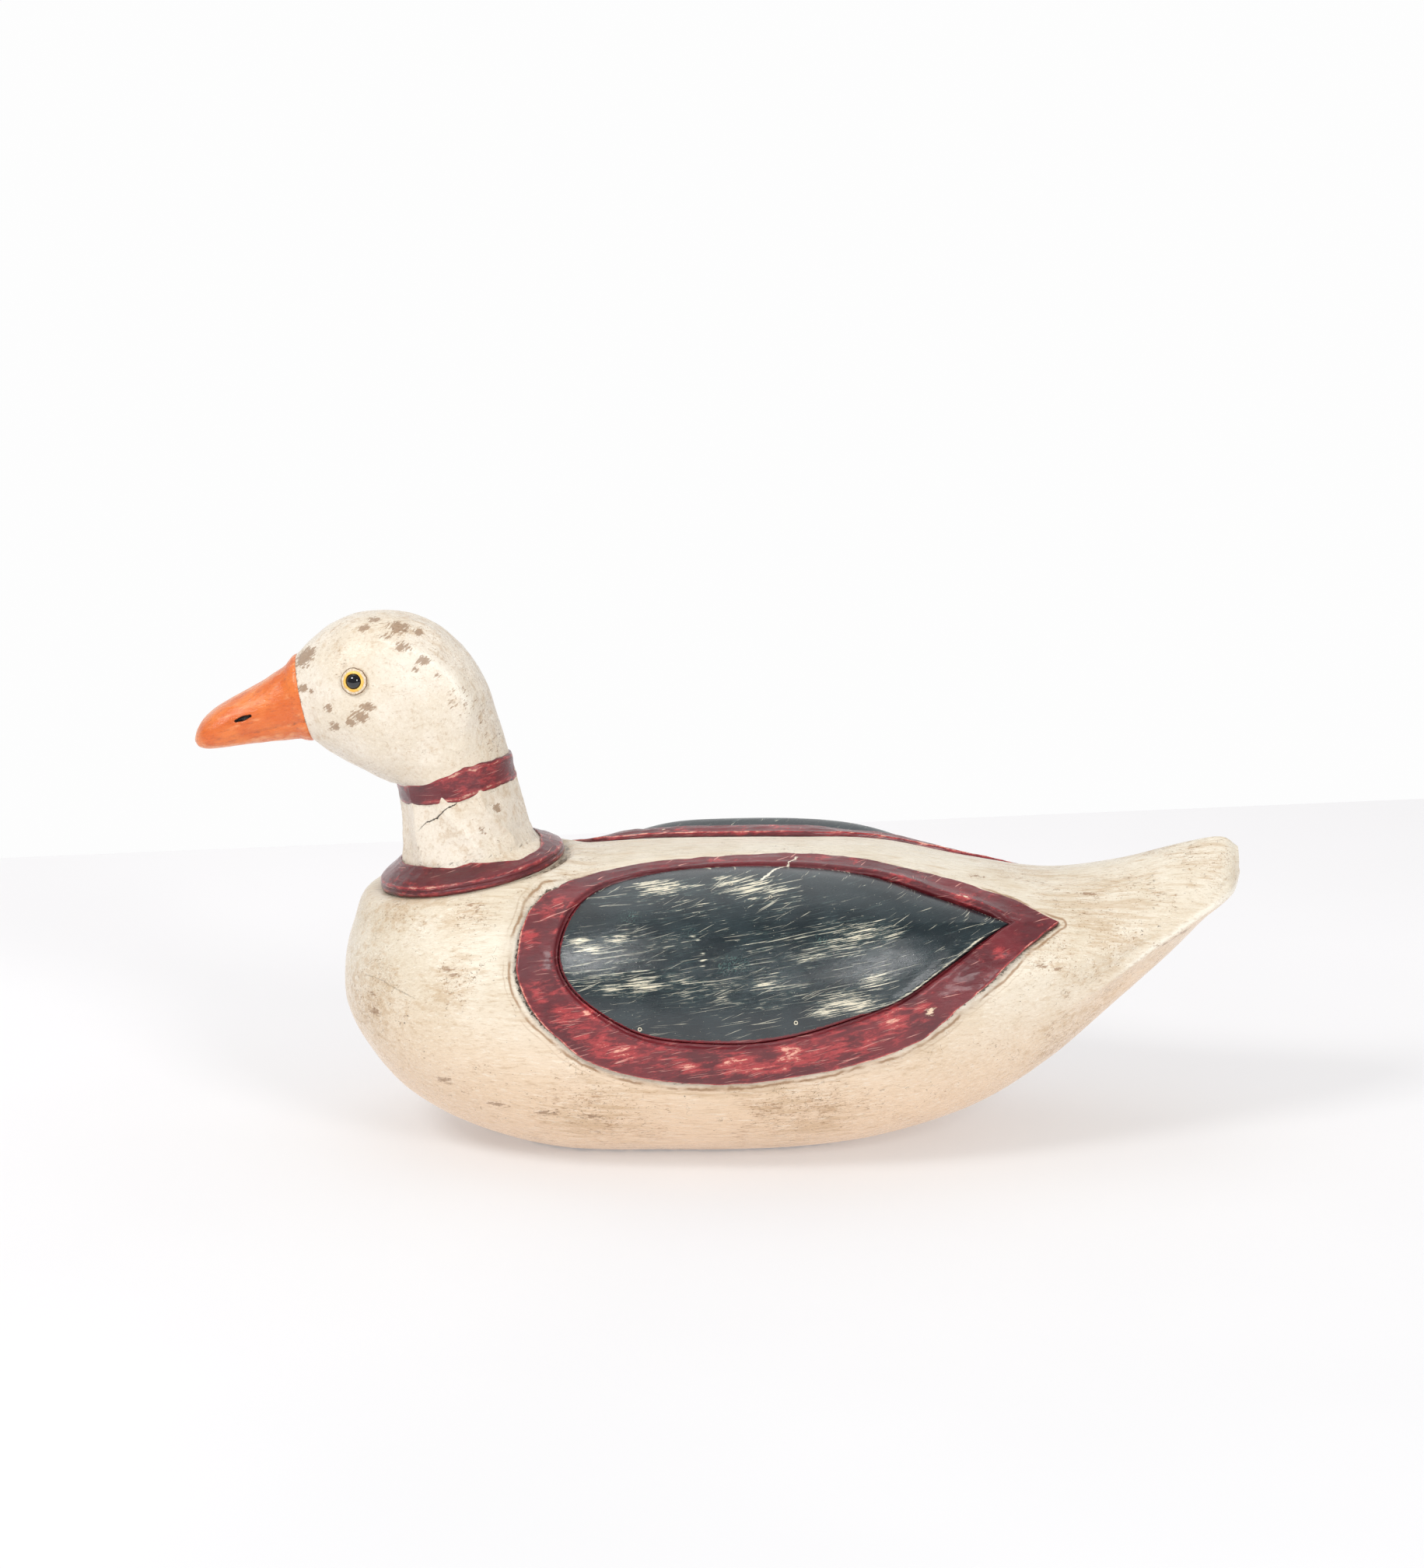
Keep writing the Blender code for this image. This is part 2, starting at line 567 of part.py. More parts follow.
def make_head():
    """The head, with its spigot, bolt bore, bill socket and eye sockets."""
    rings = []
    for height in (HEAD_JOINT + GAP, RING_TOP):
        centre = neck_place @ Vector((0, 0, height * MM)) / MM
        across = neck_place.to_3x3() @ Vector((SPIGOT_RADIUS, 0, 0))
        back, front = centre + across, centre - across
        rings.append(ring_between(
            (back.x, back.z), (front.x, front.z), SPIGOT_RADIUS, 2.0, HEAD_AROUND))
    rows = smooth_rows(HEAD_SECTIONS, np.linspace(0, len(HEAD_SECTIONS) - 1, HEAD_RINGS))
    rings += [ring_between(row[0:2], row[2:4], row[4], row[5], HEAD_AROUND) for row in rows]
    head = new_object("head_block", loft(rings), cream)
    cut(head, rod_cutter("head_bore", BOLT_RADIUS + GAP, 20, BOLT_TOP + 1, neck_place, 20))
    root = Matrix.Translation(Vector(BILL_ROOT) * MM) @ facing(BILL_AXIS)
    cut(head, rod_cutter("bill_socket", TENON_RADIUS + GAP, -TENON_LENGTH - 1, 8, root, 20))
    for side in (-1, 1):
        place = Matrix.Translation(mirrored(EYE_CENTRE, side)) @ facing(EYE_AXIS, side)
        cut(head, rod_cutter("eye_socket", EYE_SOCKET_RADIUS, -EYE_SOCKET_DEPTH, 6, place, 24))
    shade_round(head)
    ride_on_neck(head)


def make_bill():
    """The bill with its tenon and nostrils."""
    rows = smooth_rows(BILL_SECTIONS, np.linspace(0, len(BILL_SECTIONS) - 1, BILL_RINGS))
    rings = [ring_between(row[0:2], row[2:4], row[4], row[5], BILL_AROUND) for row in rows]
    bill = new_object("bill", loft(rings), orange)
    root = Matrix.Translation(Vector(BILL_ROOT) * MM) @ facing(BILL_AXIS)
    cut(bill, rod_cutter("bill_tenon", TENON_RADIUS, -TENON_LENGTH, 6, root, 20), "UNION")
    for side in (-1, 1):
        slit = bmesh.new()
        bmesh.ops.create_uvsphere(slit, u_segments=16, v_segments=8, radius=MM)
        slit = new_object("nostril", slit, cutter_paint)
        slit.matrix_world = Matrix.Translation(mirrored(NOSTRIL_CENTRE, side)) @ Matrix.Rotation(
            math.radians(-NOSTRIL_SLOPE), 4, "Y") @ Matrix.Diagonal((*NOSTRIL_SIZE, 1))
        cut(bill, slit)
    shade_round(bill)
    ride_on_neck(bill)


def make_eyes():
    """Putty, yellow ring and glass bead for each eye."""
    floor = GAP - EYE_SOCKET_DEPTH
    for side, label in ((-1, "left"), (1, "right")):
        place = Matrix.Translation(mirrored(EYE_CENTRE, side)) @ facing(EYE_AXIS, side)
        for name, profile, material in (
                ("eye_putty_", PUTTY_PROFILE, putty), ("eye_ring_", EYE_RING_PROFILE, yellow),
                ("eye_bead_", BEAD_PROFILE, black_glass)):
            inner, outer = profile[0][0], profile[-1][0]
            whole = profile + ((outer, floor), (inner, floor))
            ride_on_neck(turned(name + label, whole, place, material, steps=24, closed=inner > 0))


def make_head_fixing():
    """Bolt, nut and washer of the turning head, and the plug that closes their bore."""
    bolt = turned(
        "head_bolt",
        ((0, BOLT_TOP), (BOLT_RADIUS * 0.6, BOLT_TOP - 1), (BOLT_RADIUS, BOLT_TOP - 5),
         (BOLT_RADIUS, BOLT_BOTTOM + 1), (BOLT_RADIUS - 1, BOLT_BOTTOM), (0, BOLT_BOTTOM)),
        neck_place, steel, steps=20)
    inner = BOLT_RADIUS + GAP
    washer_top = BORE_CEILING - GAP
    washer_bottom = washer_top - WASHER_THICKNESS
    turned(
        "head_washer",
        ((inner, washer_top), (WASHER_RADIUS, washer_top), (WASHER_RADIUS, washer_bottom),
         (inner, washer_bottom)),
        neck_place, steel, steps=32, closed=True)
    nut_top = washer_bottom - GAP
    nut = bmesh.new()
    bmesh.ops.create_cone(
        nut, cap_ends=True, segments=6, radius1=NUT_ACROSS_CORNERS / 2 * MM,
        radius2=NUT_ACROSS_CORNERS / 2 * MM, depth=NUT_HEIGHT * MM,
        matrix=Matrix.Translation((0, 0, (nut_top - NUT_HEIGHT / 2) * MM)))
    nut = new_object("head_nut", nut, steel)
    nut.matrix_world = neck_place
    cut(nut, rod_cutter("nut_bore", inner, nut_top - 20, nut_top + 5, neck_place, 20))
    for piece in (bolt, nut):
        ride_on_neck(piece)

    plug = turned(
        "bore_plug",
        ((0, 0), (BORE_RADIUS - GAP, 0), (BORE_RADIUS - GAP, -PLUG_LENGTH), (0, -PLUG_LENGTH)),
        neck_place @ Matrix.Translation((0, 0, (BOLT_BOTTOM - PLUG_BELOW_BOLT) * MM)), bare_wood, steps=32)
    cut(plug, new_object("plug_trim", body_mesh(), cutter_paint), "INTERSECT")


def make_underside():
    """The lead weight and its screws, and the line staple."""
    length, width, height = BALLAST_SIZE
    block = bmesh.new()
    bmesh.ops.create_cube(block, size=1.0, matrix=Matrix.Translation(
        (BALLAST_X * MM, 0, (GAP + height / 2) * MM)) @ Matrix.Diagonal(
        (length * MM, width * MM, height * MM, 1)))
    block = new_object("ballast_weight", block, lead)
    for number, x in enumerate(BALLAST_SCREW_X, start=1):
        place = Matrix.Translation((x * MM, 0, 0))
        head, shank = SCREW_HEAD_RADIUS, SCREW_RADIUS
        sink = turned(
            "screw_sink",
            ((0, 20), (shank + GAP, 20), (shank + GAP, SCREW_CONE_TOP + GAP),
             (head + GAP, SCREW_HEAD_TOP + GAP), (head + GAP, -5), (0, -5)),
            place, cutter_paint, steps=16)
        cut(block, sink)
        turned(
            "ballast_screw_%d" % number,
            ((0, SCREW_LENGTH), (shank * 0.5, SCREW_LENGTH - 1.5), (shank, SCREW_LENGTH - 5),
             (shank, SCREW_CONE_TOP), (head, SCREW_HEAD_TOP), (head, GAP * 2), (0, GAP * 2)),
            place, steel, steps=16)

    top = STAPLE_WIRE_RADIUS + GAP
    centre = (STAPLE_SPAN / 2 - STAPLE_CORNER, top + STAPLE_CORNER)
    bend = [(centre[0] + STAPLE_CORNER * math.sin(turn), centre[1] - STAPLE_CORNER * math.cos(turn))
            for turn in np.radians((0, 30, 60, 90))]
    route = [(STAPLE_SPAN / 2, STAPLE_LEG + 1)] + bend[::-1]
    route += [(-y, z) for y, z in reversed(route)]
    curve = bpy.data.curves.new("line_staple", "CURVE")
    curve.dimensions = "3D"
    curve.bevel_depth = STAPLE_WIRE_RADIUS * MM
    curve.bevel_resolution = 2
    curve.use_fill_caps = True
    wire = curve.splines.new("POLY")
    wire.points.add(len(route) - 1)
    for point, (y, z) in zip(wire.points, route):
        point.co = (STAPLE_X * MM, y * MM, z * MM, 1)
    staple = bpy.data.objects.new("line_staple", curve)
    staple.data.materials.append(brass)
    parts.objects.link(staple)


panels = {}
make_body()
make_wings()
make_neck()
make_head()
make_bill()
make_eyes()
make_head_fixing()
make_underside()
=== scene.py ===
"""Looks for the floating duck decoy: carved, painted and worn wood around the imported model.

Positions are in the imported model's frame. Lofts and profiles are written in millimetres and scaled by MM.
"""
import math

import bpy
import numpy as np
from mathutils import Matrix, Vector


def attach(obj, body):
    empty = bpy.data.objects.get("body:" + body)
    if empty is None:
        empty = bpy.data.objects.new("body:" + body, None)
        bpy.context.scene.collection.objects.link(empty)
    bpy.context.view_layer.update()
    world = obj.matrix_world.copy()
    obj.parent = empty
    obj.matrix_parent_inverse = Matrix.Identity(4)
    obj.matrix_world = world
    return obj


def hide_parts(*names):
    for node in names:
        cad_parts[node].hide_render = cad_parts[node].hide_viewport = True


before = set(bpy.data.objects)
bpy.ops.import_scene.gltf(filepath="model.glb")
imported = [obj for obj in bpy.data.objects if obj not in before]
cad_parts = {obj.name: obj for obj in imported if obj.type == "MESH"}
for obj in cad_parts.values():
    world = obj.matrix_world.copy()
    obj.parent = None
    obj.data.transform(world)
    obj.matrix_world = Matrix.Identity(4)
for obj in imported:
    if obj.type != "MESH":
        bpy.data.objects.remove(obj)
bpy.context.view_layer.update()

MM = 0.001

# Body, one row per cross-section, from breast to tail: place along X, top, keel, half width,
# height of the widest line, and how square the section is above and below that line.
BODY_SECTIONS = (
    (-136.6, 62, 57.5, 3, 60, 2, 2),
    (-134.6, 75.5, 47.5, 20, 59.5, 2, 2),
    (-127.5, 90.5, 35, 36, 58.5, 2, 2),
    (-113, 98.5, 18, 50, 57, 2.1, 2),
    (-90, 105, 5.5, 60.5, 55.5, 2.1, 2.1),
    (-58, 104.5, -2.5, 66.5, 54.5, 2.1, 2.2),
    (-20, 107.5, -3.5, 69, 54.5, 2.1, 2.2),
    (20, 108.3, -3, 69, 55, 2.1, 2.2),
    (58, 107, 1.5, 65.5, 58.5, 2.1, 2.2),
    (92, 101, 11, 57, 65, 1.9, 2.1),
    (122, 97.8, 29, 46, 72, 1.8, 2),
    (148, 102, 52, 35.5, 79.5, 1.6, 1.9),
    (170, 108.5, 72, 26, 87, 1.5, 1.8),
    (184, 111, 86, 16, 94, 1.5, 1.7),
    (190.5, 107.5, 98, 5, 102, 1.6, 1.7),
)
# Head and bill, one row per section: the point on the nape or crown (x, z), the point on the throat
# or jaw (x, z), half width, and how square the section is. The first row is hidden in the neck ring.
HEAD_SECTIONS = (
    (-73.8, 134, -115.2, 125.9, 21.5, 2),
    (-74.9, 139.8, -116.2, 131.7, 21.8, 2),
    (-77.1, 147.3, -120.4, 132.9, 22, 2),
    (-79.9, 157.5, -125, 134.8, 22.8, 2.1),
    (-84.4, 169.5, -128.5, 136.8, 24, 2.2),
    (-91, 180, -131.5, 138.5, 24.8, 2.2),
    (-102, 190.3, -134.2, 140, 25, 2.2),
    (-116, 194.8, -137, 141.8, 24.5, 2.2),
    (-130.5, 193.7, -140, 143.7, 22.5, 2.2),
    (-142.3, 187.3, -143, 145.8, 18.5, 2.2),
    (-152.3, 178.3, -146, 147.7, 13.8, 2.2),
)
BILL_SECTIONS = (
    (-151.5, 178.6, -145.3, 147.9, 13.4, 2.2),
    (-152.8, 178.3, -146.3, 147.5, 13.8, 2.2),
    (-158, 173.7, -152.3, 147.5, 12.4, 2.2),
    (-165, 168.7, -160, 147.1, 11.6, 2.3),
    (-173, 164.1, -168.5, 146.3, 11.6, 2.4),
    (-180.5, 159.8, -177, 145.1, 11.9, 2.5),
    (-185.5, 155.8, -183, 144.6, 10.8, 2.5),
    (-188.3, 151.7, -187, 144.9, 7.5, 2.4),
    (-189.3, 148.7, -189, 146.3, 3, 2.2),
)

SEAT_CENTRE = np.array((-89.1, 0.0, 98.4))
NECK_LEAN = math.radians(10.6)
NECK_AXES = np.array((
    (math.cos(NECK_LEAN), 0.0, math.sin(NECK_LEAN)),
    (0, 1, 0),
    (-math.sin(NECK_LEAN), 0.0, math.cos(NECK_LEAN)),
))

# Wing boards, from the rear tip over the top to the front and back along the bottom: the outer edge
# of the rim and the edge of the panel, each as a place along X and an angle round the body section.
WING_OUTLINE = (
    (122, 39, 104, 42),
    (106, 57, 93, 50.5),
    (86, 67, 79, 56.5),
    (62, 73, 58, 64.5),
    (32, 78, 31, 70),
    (2, 76.5, 4, 70.5),
    (-28, 73, -20, 68),
    (-52, 66, -39, 62.5),
    (-65.2, 54, -50.6, 52),
    (-70.6, 33, -56, 34),
    (-68, 15.5, -52.6, 21),
    (-57, 1, -41.5, 10),
    (-36, -9.5, -25, 1.5),
    (-8, -14, -3, -0.5),
    (22, -13, 22, 0),
    (50, -10, 45, 4),
    (75, -5.5, 65, 10),
    (94, 8, 82, 22.5),
    (109.5, 26, 94, 33.5),
    (122, 39, 104, 42),
)
WING_POINTS = 480
AROUND_WING = np.linspace(0, 1, WING_POINTS, endpoint=False)
WING_MIDDLE = (18.0, 35.0)
# Nail heads as places (x, angle).
PIN_PLACES = ((5.0, 56.0), (18.8, 50.0), (-27.0, 4.5), (27.3, 6.0))

# The right eye; the left one mirrors it.
EYE_CENTRE = np.array((-128.9, 23.5, 173.7))
EYE_AXIS = (-0.17, 0.97, 0.17)

SIDES = ((-1, "left"), (1, "right"))
# Fields of a painted piece without chips or cracks.
UNBROKEN = {"chip": 0.0, "crack": 0.0, "crack_span": 0.0}

BODY_TONES = ((0.72, 0.65, 0.53), (0.655, 0.57, 0.44))
HEAD_TONES = ((0.755, 0.69, 0.59), (0.69, 0.61, 0.49))


def smooth_rows(rows, places):
    """Catmull-Rom through rows of numbers, at the given row numbers."""
    table = np.array(rows, dtype=float)
    padded = np.vstack([2 * table[0] - table[1], table, 2 * table[-1] - table[-2]])
    places = np.atleast_1d(np.asarray(places, dtype=float))
    first = np.clip(places.astype(int), 0, len(table) - 2)
    t = (places - first)[:, None]
    a, b, c, d = (padded[first + k] for k in range(4))
    return b + 0.5 * t * (c - a + t * (2 * a - 5 * b + 4 * c - d + t * (3 * (b - c) + d - a)))


def fine_rows(rows, count):
    """An even count of rows along the smooth curve through rows of numbers."""
    return smooth_rows(rows, np.linspace(0, len(rows) - 1, count))


def body_rows(x):
    """The body's section values at places along X."""
    fine = np.linspace(0, len(BODY_SECTIONS) - 1, 600)
    places = np.interp(x, smooth_rows(BODY_SECTIONS, fine)[:, 0], fine)
    return smooth_rows(BODY_SECTIONS, places)


def body_point(x, angle):
    """Points of the body's surface; angle is 90 at the back, 0 at the widest line, -90 at the keel."""
    x, angle = np.broadcast_arrays(np.asarray(x, float), np.asarray(angle, float))
    rows = body_rows(x.ravel())
    radians = np.radians(angle.ravel())
    top, keel, half, wide, upper, lower = rows[:, 1:].T
    power = np.where(radians >= 0, upper, lower)
    reach = np.where(radians >= 0, top - wide, keel - wide)
    out = half * np.abs(np.cos(radians)) ** (2 / power)
    up = wide + reach * np.abs(np.sin(radians)) ** (2 / power)
    return np.stack([x.ravel(), out, up], axis=1).reshape(x.shape + (3,))


def body_normal(x, angle):
    """Unit normals of the body's surface."""
    along = body_point(x + 0.5, angle) - body_point(x - 0.5, angle)
    around = body_point(x, angle + 0.5) - body_point(x, angle - 0.5)
    normal = np.cross(around, along)
    return normal / np.linalg.norm(normal, axis=-1, keepdims=True)


def ring_between(top, bottom, half, power, count):
    """A closed section ring between two points of the XZ plane."""
    angles = np.linspace(0, 2 * math.pi, count, endpoint=False)
    middle = (top + bottom) / 2
    reach = (top - bottom) / 2
    up = np.sign(np.cos(angles)) * np.abs(np.cos(angles)) ** (2 / power)
    out = np.sign(np.sin(angles)) * np.abs(np.sin(angles)) ** (2 / power)
    flat = middle + up[:, None] * reach
    return np.stack([flat[:, 0], half * out, flat[:, 1]], axis=1)


def section_grid(sections, rings, around):
    """Over head or bill sections: a grid of points, its normals and each point's row number."""
    rows = fine_rows(sections, rings)
    grid = np.array([ring_between(row[:2], row[2:4], *row[4:], around) for row in rows])
    row = np.linspace(0, len(sections) - 1, rings)[:, None] * np.ones(around)
    return grid, grid_normals(grid), row


def to_neck(points):
    """Turn in degrees (0 at the nape, 180 at the throat, negative on the left), radius and height."""
    local = (points - SEAT_CENTRE) @ NECK_AXES.T
    turn = np.degrees(np.arctan2(local[..., 1], local[..., 0]))
    return turn, np.hypot(local[..., 0], local[..., 1]), local[..., 2]


def from_neck(turn, radius, height):
    """Points from turn, radius and height on the neck."""
    turn, radius, height = np.broadcast_arrays(turn, radius, height)
    radians = np.radians(turn)
    local = np.stack([radius * np.cos(radians), radius * np.sin(radians), height], axis=-1)
    return local @ NECK_AXES + SEAT_CENTRE


def lumps(points, size, seed=0):
    """Smooth value noise from -1 to 1, with lumps of the given size; size may differ per axis."""
    scaled = np.asarray(points) / np.asarray(size) + 64.0
    cell = np.floor(scaled).astype(np.int64)
    t = scaled - cell
    t = t * t * (3 - 2 * t)
    total = 0
    for corner in np.ndindex(2, 2, 2):
        key = (cell + corner) @ np.array((374761393, 668265263, 2147483647)) + seed * 144665
        key = (key ^ (key >> 13)) * 1274126177 & 0xFFFFFFFF
        key = (key ^ (key >> 16)) & 0xFFFF
        weight = np.prod(np.where(corner, t, 1 - t), axis=-1)
        total = total + weight * (key / 32767.5 - 1)
    return total


def rise(value, low, high):
    """0 below low, 1 above high, smooth between; low may be above high."""
    t = np.clip((value - low) / (high - low), 0, 1)
    return t * t * (3 - 2 * t)


def between(value, start, full, fade, end):
    """1 from full to fade, 0 before start and after end, smooth between."""
    return rise(value, start, full) * rise(value, end, fade)


def bump(value, centre, width):
    """A bell of height 1."""
    return np.exp(-(((value - centre) / width) ** 2))


def grid_normals(grid):
    """Unit normals of a grid of rings, facing away from each ring's middle."""
    along = np.gradient(grid, axis=0)
    around = np.roll(grid, -1, axis=1) - np.roll(grid, 1, axis=1)
    normal = np.cross(along, around)
    normal /= np.linalg.norm(normal, axis=-1, keepdims=True) + 1e-12
    outward = np.sum(normal * (grid - grid.mean(axis=1, keepdims=True)), axis=-1, keepdims=True)
    return normal * np.sign(outward + 1e-12)


def from_middle(grid):
    """Unit vectors away from a grid's middle."""
    away = grid - grid.mean(axis=(0, 1))
    return away / np.linalg.norm(away, axis=-1, keepdims=True)


def spots(points, places, stretch=(1, 1, 1)):
    """The strongest of several round fields: 1 at a place (x, y, z, radius), 0.5 at its radius."""
    field = np.zeros(points.shape[:-1])
    for *centre, radius in places:
        away = np.linalg.norm((points - np.array(centre)) / np.array(stretch), axis=-1) / radius
        field = np.maximum(field, np.clip(1 - away / 2, 0, 1))
    return field


def along_line(points, line):
    """Distance to a line of points, how far along it (0 to 1) the nearest place is, and on which side."""
    line = np.array(line, float)
    best = np.full(points.shape[:-1], 1e9)
    where, side = np.zeros_like(best), np.zeros_like(best)
    for number, (a, b) in enumerate(zip(line, line[1:])):
        reach = b - a
        t = np.clip((points - a) @ reach / (reach @ reach), 0, 1)
        off = points - a - t[..., None] * reach
        away = np.linalg.norm(off, axis=-1)
        closer = away < best
        side = np.where(closer, np.sign(reach[0] * off[..., 1] - reach[1] * off[..., 0]), side)
        where = np.where(closer, (number + t) / (len(line) - 1), where)
        best = np.minimum(best, away)
    return best, where, side


def crack_across(flat, line, scale=(1, 1), margin=0.0):
    """A crack on a flat map: signed distance across it, how far along it, and whether it runs there."""
    away, where, side = along_line(flat * scale, np.array(line) * scale)
    return np.clip(away * side, -8, 8), where, (np.abs(where - 0.5) < 0.5 - margin) & (away < 6)


def grid_piece(name, grid, material, fields=None, ends="cap"):
    """
    A smooth mesh over a grid of rings, with named float fields for its material. Its ends are closed
    by a point each ("cap"), or joined to each other ("loop").
    """
    rings, around = grid.shape[:2]
    number = np.arange(rings * around).reshape(rings, around)
    ahead = np.roll(number, -1, axis=1)
    if ends == "loop":
        next_ring, next_ahead = np.roll(number, -1, axis=0), np.roll(ahead, -1, axis=0)
        quads = np.stack([number, ahead, next_ahead, next_ring], axis=-1).reshape(-1, 4)
        points, faces = grid.reshape(-1, 3), quads.tolist()
    else:
        quads = np.stack([number[:-1], ahead[:-1], ahead[1:], number[1:]], axis=-1).reshape(-1, 4)
        points = np.vstack([grid.reshape(-1, 3), grid[0].mean(axis=0), grid[-1].mean(axis=0)])
        first, last = rings * around, rings * around + 1
        faces = quads.tolist()
        faces += np.stack([ahead[0], number[0], np.full(around, first)], axis=-1).tolist()
        faces += np.stack([number[-1], ahead[-1], np.full(around, last)], axis=-1).tolist()
    # One sign tells whether the faces look outward, from the volume that they enclose.
    corners = points[quads]
    volume = np.sum(np.cross(corners[:, 1] - corners[:, 0], corners[:, 2] - corners[:, 0])
                    * (corners[:, 0] - points.mean(axis=0)))
    if volume < 0:
        faces = [face[::-1] for face in faces]
    mesh = bpy.data.meshes.new(name)
    mesh.from_pydata((points * MM).tolist(), [], faces)
    for label, values in (fields or {}).items():
        values = np.broadcast_to(values, (rings, around))
        flat = values.ravel()
        if ends == "cap":
            flat = np.concatenate([flat, [values[0].mean()], [values[-1].mean()]])
        attribute = mesh.attributes.new(label, "FLOAT", "POINT")
        attribute.data.foreach_set("value", flat.astype(np.float32))
    mesh.validate()
    thing = bpy.data.objects.new(name, mesh)
    bpy.context.scene.collection.objects.link(thing)
    mesh.materials.append(material)
    mesh.shade_smooth()
    return thing


def place(thing, body, node, slot_name):
    """Let a piece ride on its body in the place of its CAD node."""
    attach(thing, body)
    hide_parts(node)
    return thing


def new_node(tree, kind, **settings):
    """A shader node with some of its settings."""
    node = tree.nodes.new("ShaderNode" + kind)
    for name, value in settings.items():
        setattr(node, name, value)
    return node


class Paint:
    """A Principled material whose colour is built up in layers, with short calls for its nodes."""

    def __init__(self, name, shift=0):
        self.material = bpy.data.materials.new(name)
        self.material.use_nodes = True
        self.tree = self.material.node_tree
        self.shader = self.tree.nodes["Principled BSDF"]
        self.place = new_node(self.tree, "TexCoord").outputs["Object"]
        self.shift = shift
        self.colour = None

    def put(self, socket, value):
        """Link an output to an input, or set the input's value."""
        if isinstance(value, bpy.types.NodeSocket):
            self.tree.links.new(value, socket)
        elif socket.type == "RGBA":
            socket.default_value = (*value, 1.0)
        else:
            socket.default_value = value

    def fill(self, node, *values):
        """Give a node's first inputs their values and return its first output."""
        for socket, value in zip(node.inputs, values):
            self.put(socket, value)
        return node.outputs[0]

    def sum(self, operation, *values):
        """A Math node."""
        return self.fill(new_node(self.tree, "Math", operation=operation), *values)

    def times(self, *values):
        """The product of two values, plus the third where there is one."""
        return self.sum("MULTIPLY" if len(values) == 2 else "MULTIPLY_ADD", *values)

    def noise(self, size, detail=2, roughness=0.5, stretch=(1, 1, 1), turn=(0, 0, 0), shift=0, warp=0):
        """Noise with lumps of a size in millimetres, longer along an axis whose stretch is above 1."""
        mapping = new_node(self.tree, "Mapping", vector_type="TEXTURE")
        turned = [math.radians(value) for value in turn]
        scale = [size * MM * value for value in stretch]
        place = self.fill(mapping, self.place, [self.shift + shift] * 3, turned, scale)
        node = new_node(self.tree, "TexNoise")
        settings = (
            ("Vector", place), ("Scale", 1), ("Detail", detail), ("Roughness", roughness),
            ("Distortion", warp))
        for name, value in settings:
            self.put(node.inputs[name], value)
        return node.outputs["Fac"]

    def field(self, name):
        """A float field of the mesh."""
        return new_node(self.tree, "Attribute", attribute_name=name).outputs["Fac"]

    def span(self, value, low, high, start=0.0, end=1.0):
        """Value from low to high, smoothly turned to start to end and held outside."""
        node = new_node(self.tree, "MapRange", interpolation_type="SMOOTHSTEP")
        return self.fill(node, value, low, high, start, end)

    def blend(self, share, first, second):
        """Two colours mixed by a share from 0 to 1."""
        node = new_node(self.tree, "Mix", data_type="RGBA")
        for number, value in ((0, share), (6, first), (7, second)):
            self.put(node.inputs[number], value)
        return node.outputs[2]

    def over(self, share, colour):
        """Lay a colour over the paint, as strongly as a share from 0 to 1 says."""
        self.colour = self.blend(share, self.colour, colour)

    def near(self, value, middle, inner, outer):
        """1 where a value is within inner of a middle, 0 beyond outer."""
        away = self.sum("ABSOLUTE", self.sum("SUBTRACT", value, middle))
        return self.span(away, inner, outer, 1.0, 0.0)

    def crack(self, width):
        """The mesh's crack: a jagged line of a width in millimetres."""
        jagged = self.times(self.noise(1.6, 4, 0.7, shift=40 - self.shift), 2.2, self.field("crack"))
        return self.times(self.near(jagged, 1.1, width / 2, width), self.field("crack_span"))

    def finish(self, roughness, height, depth, **constants):
        """Set the shader: colour, roughness, a height in 0 to 1 that is depth millimetres deep."""
        relief = new_node(self.tree, "Bump")
        for name, value in (("Distance", depth * MM), ("Strength", 1), ("Height", height)):
            self.put(relief.inputs[name], value)
        constants.update({"Base Color": self.colour, "Roughness": roughness, "Normal": relief.outputs[0]})
        for name, value in constants.items():
            self.put(self.shader.inputs[name.replace("_", " ")], value)
        return self.material


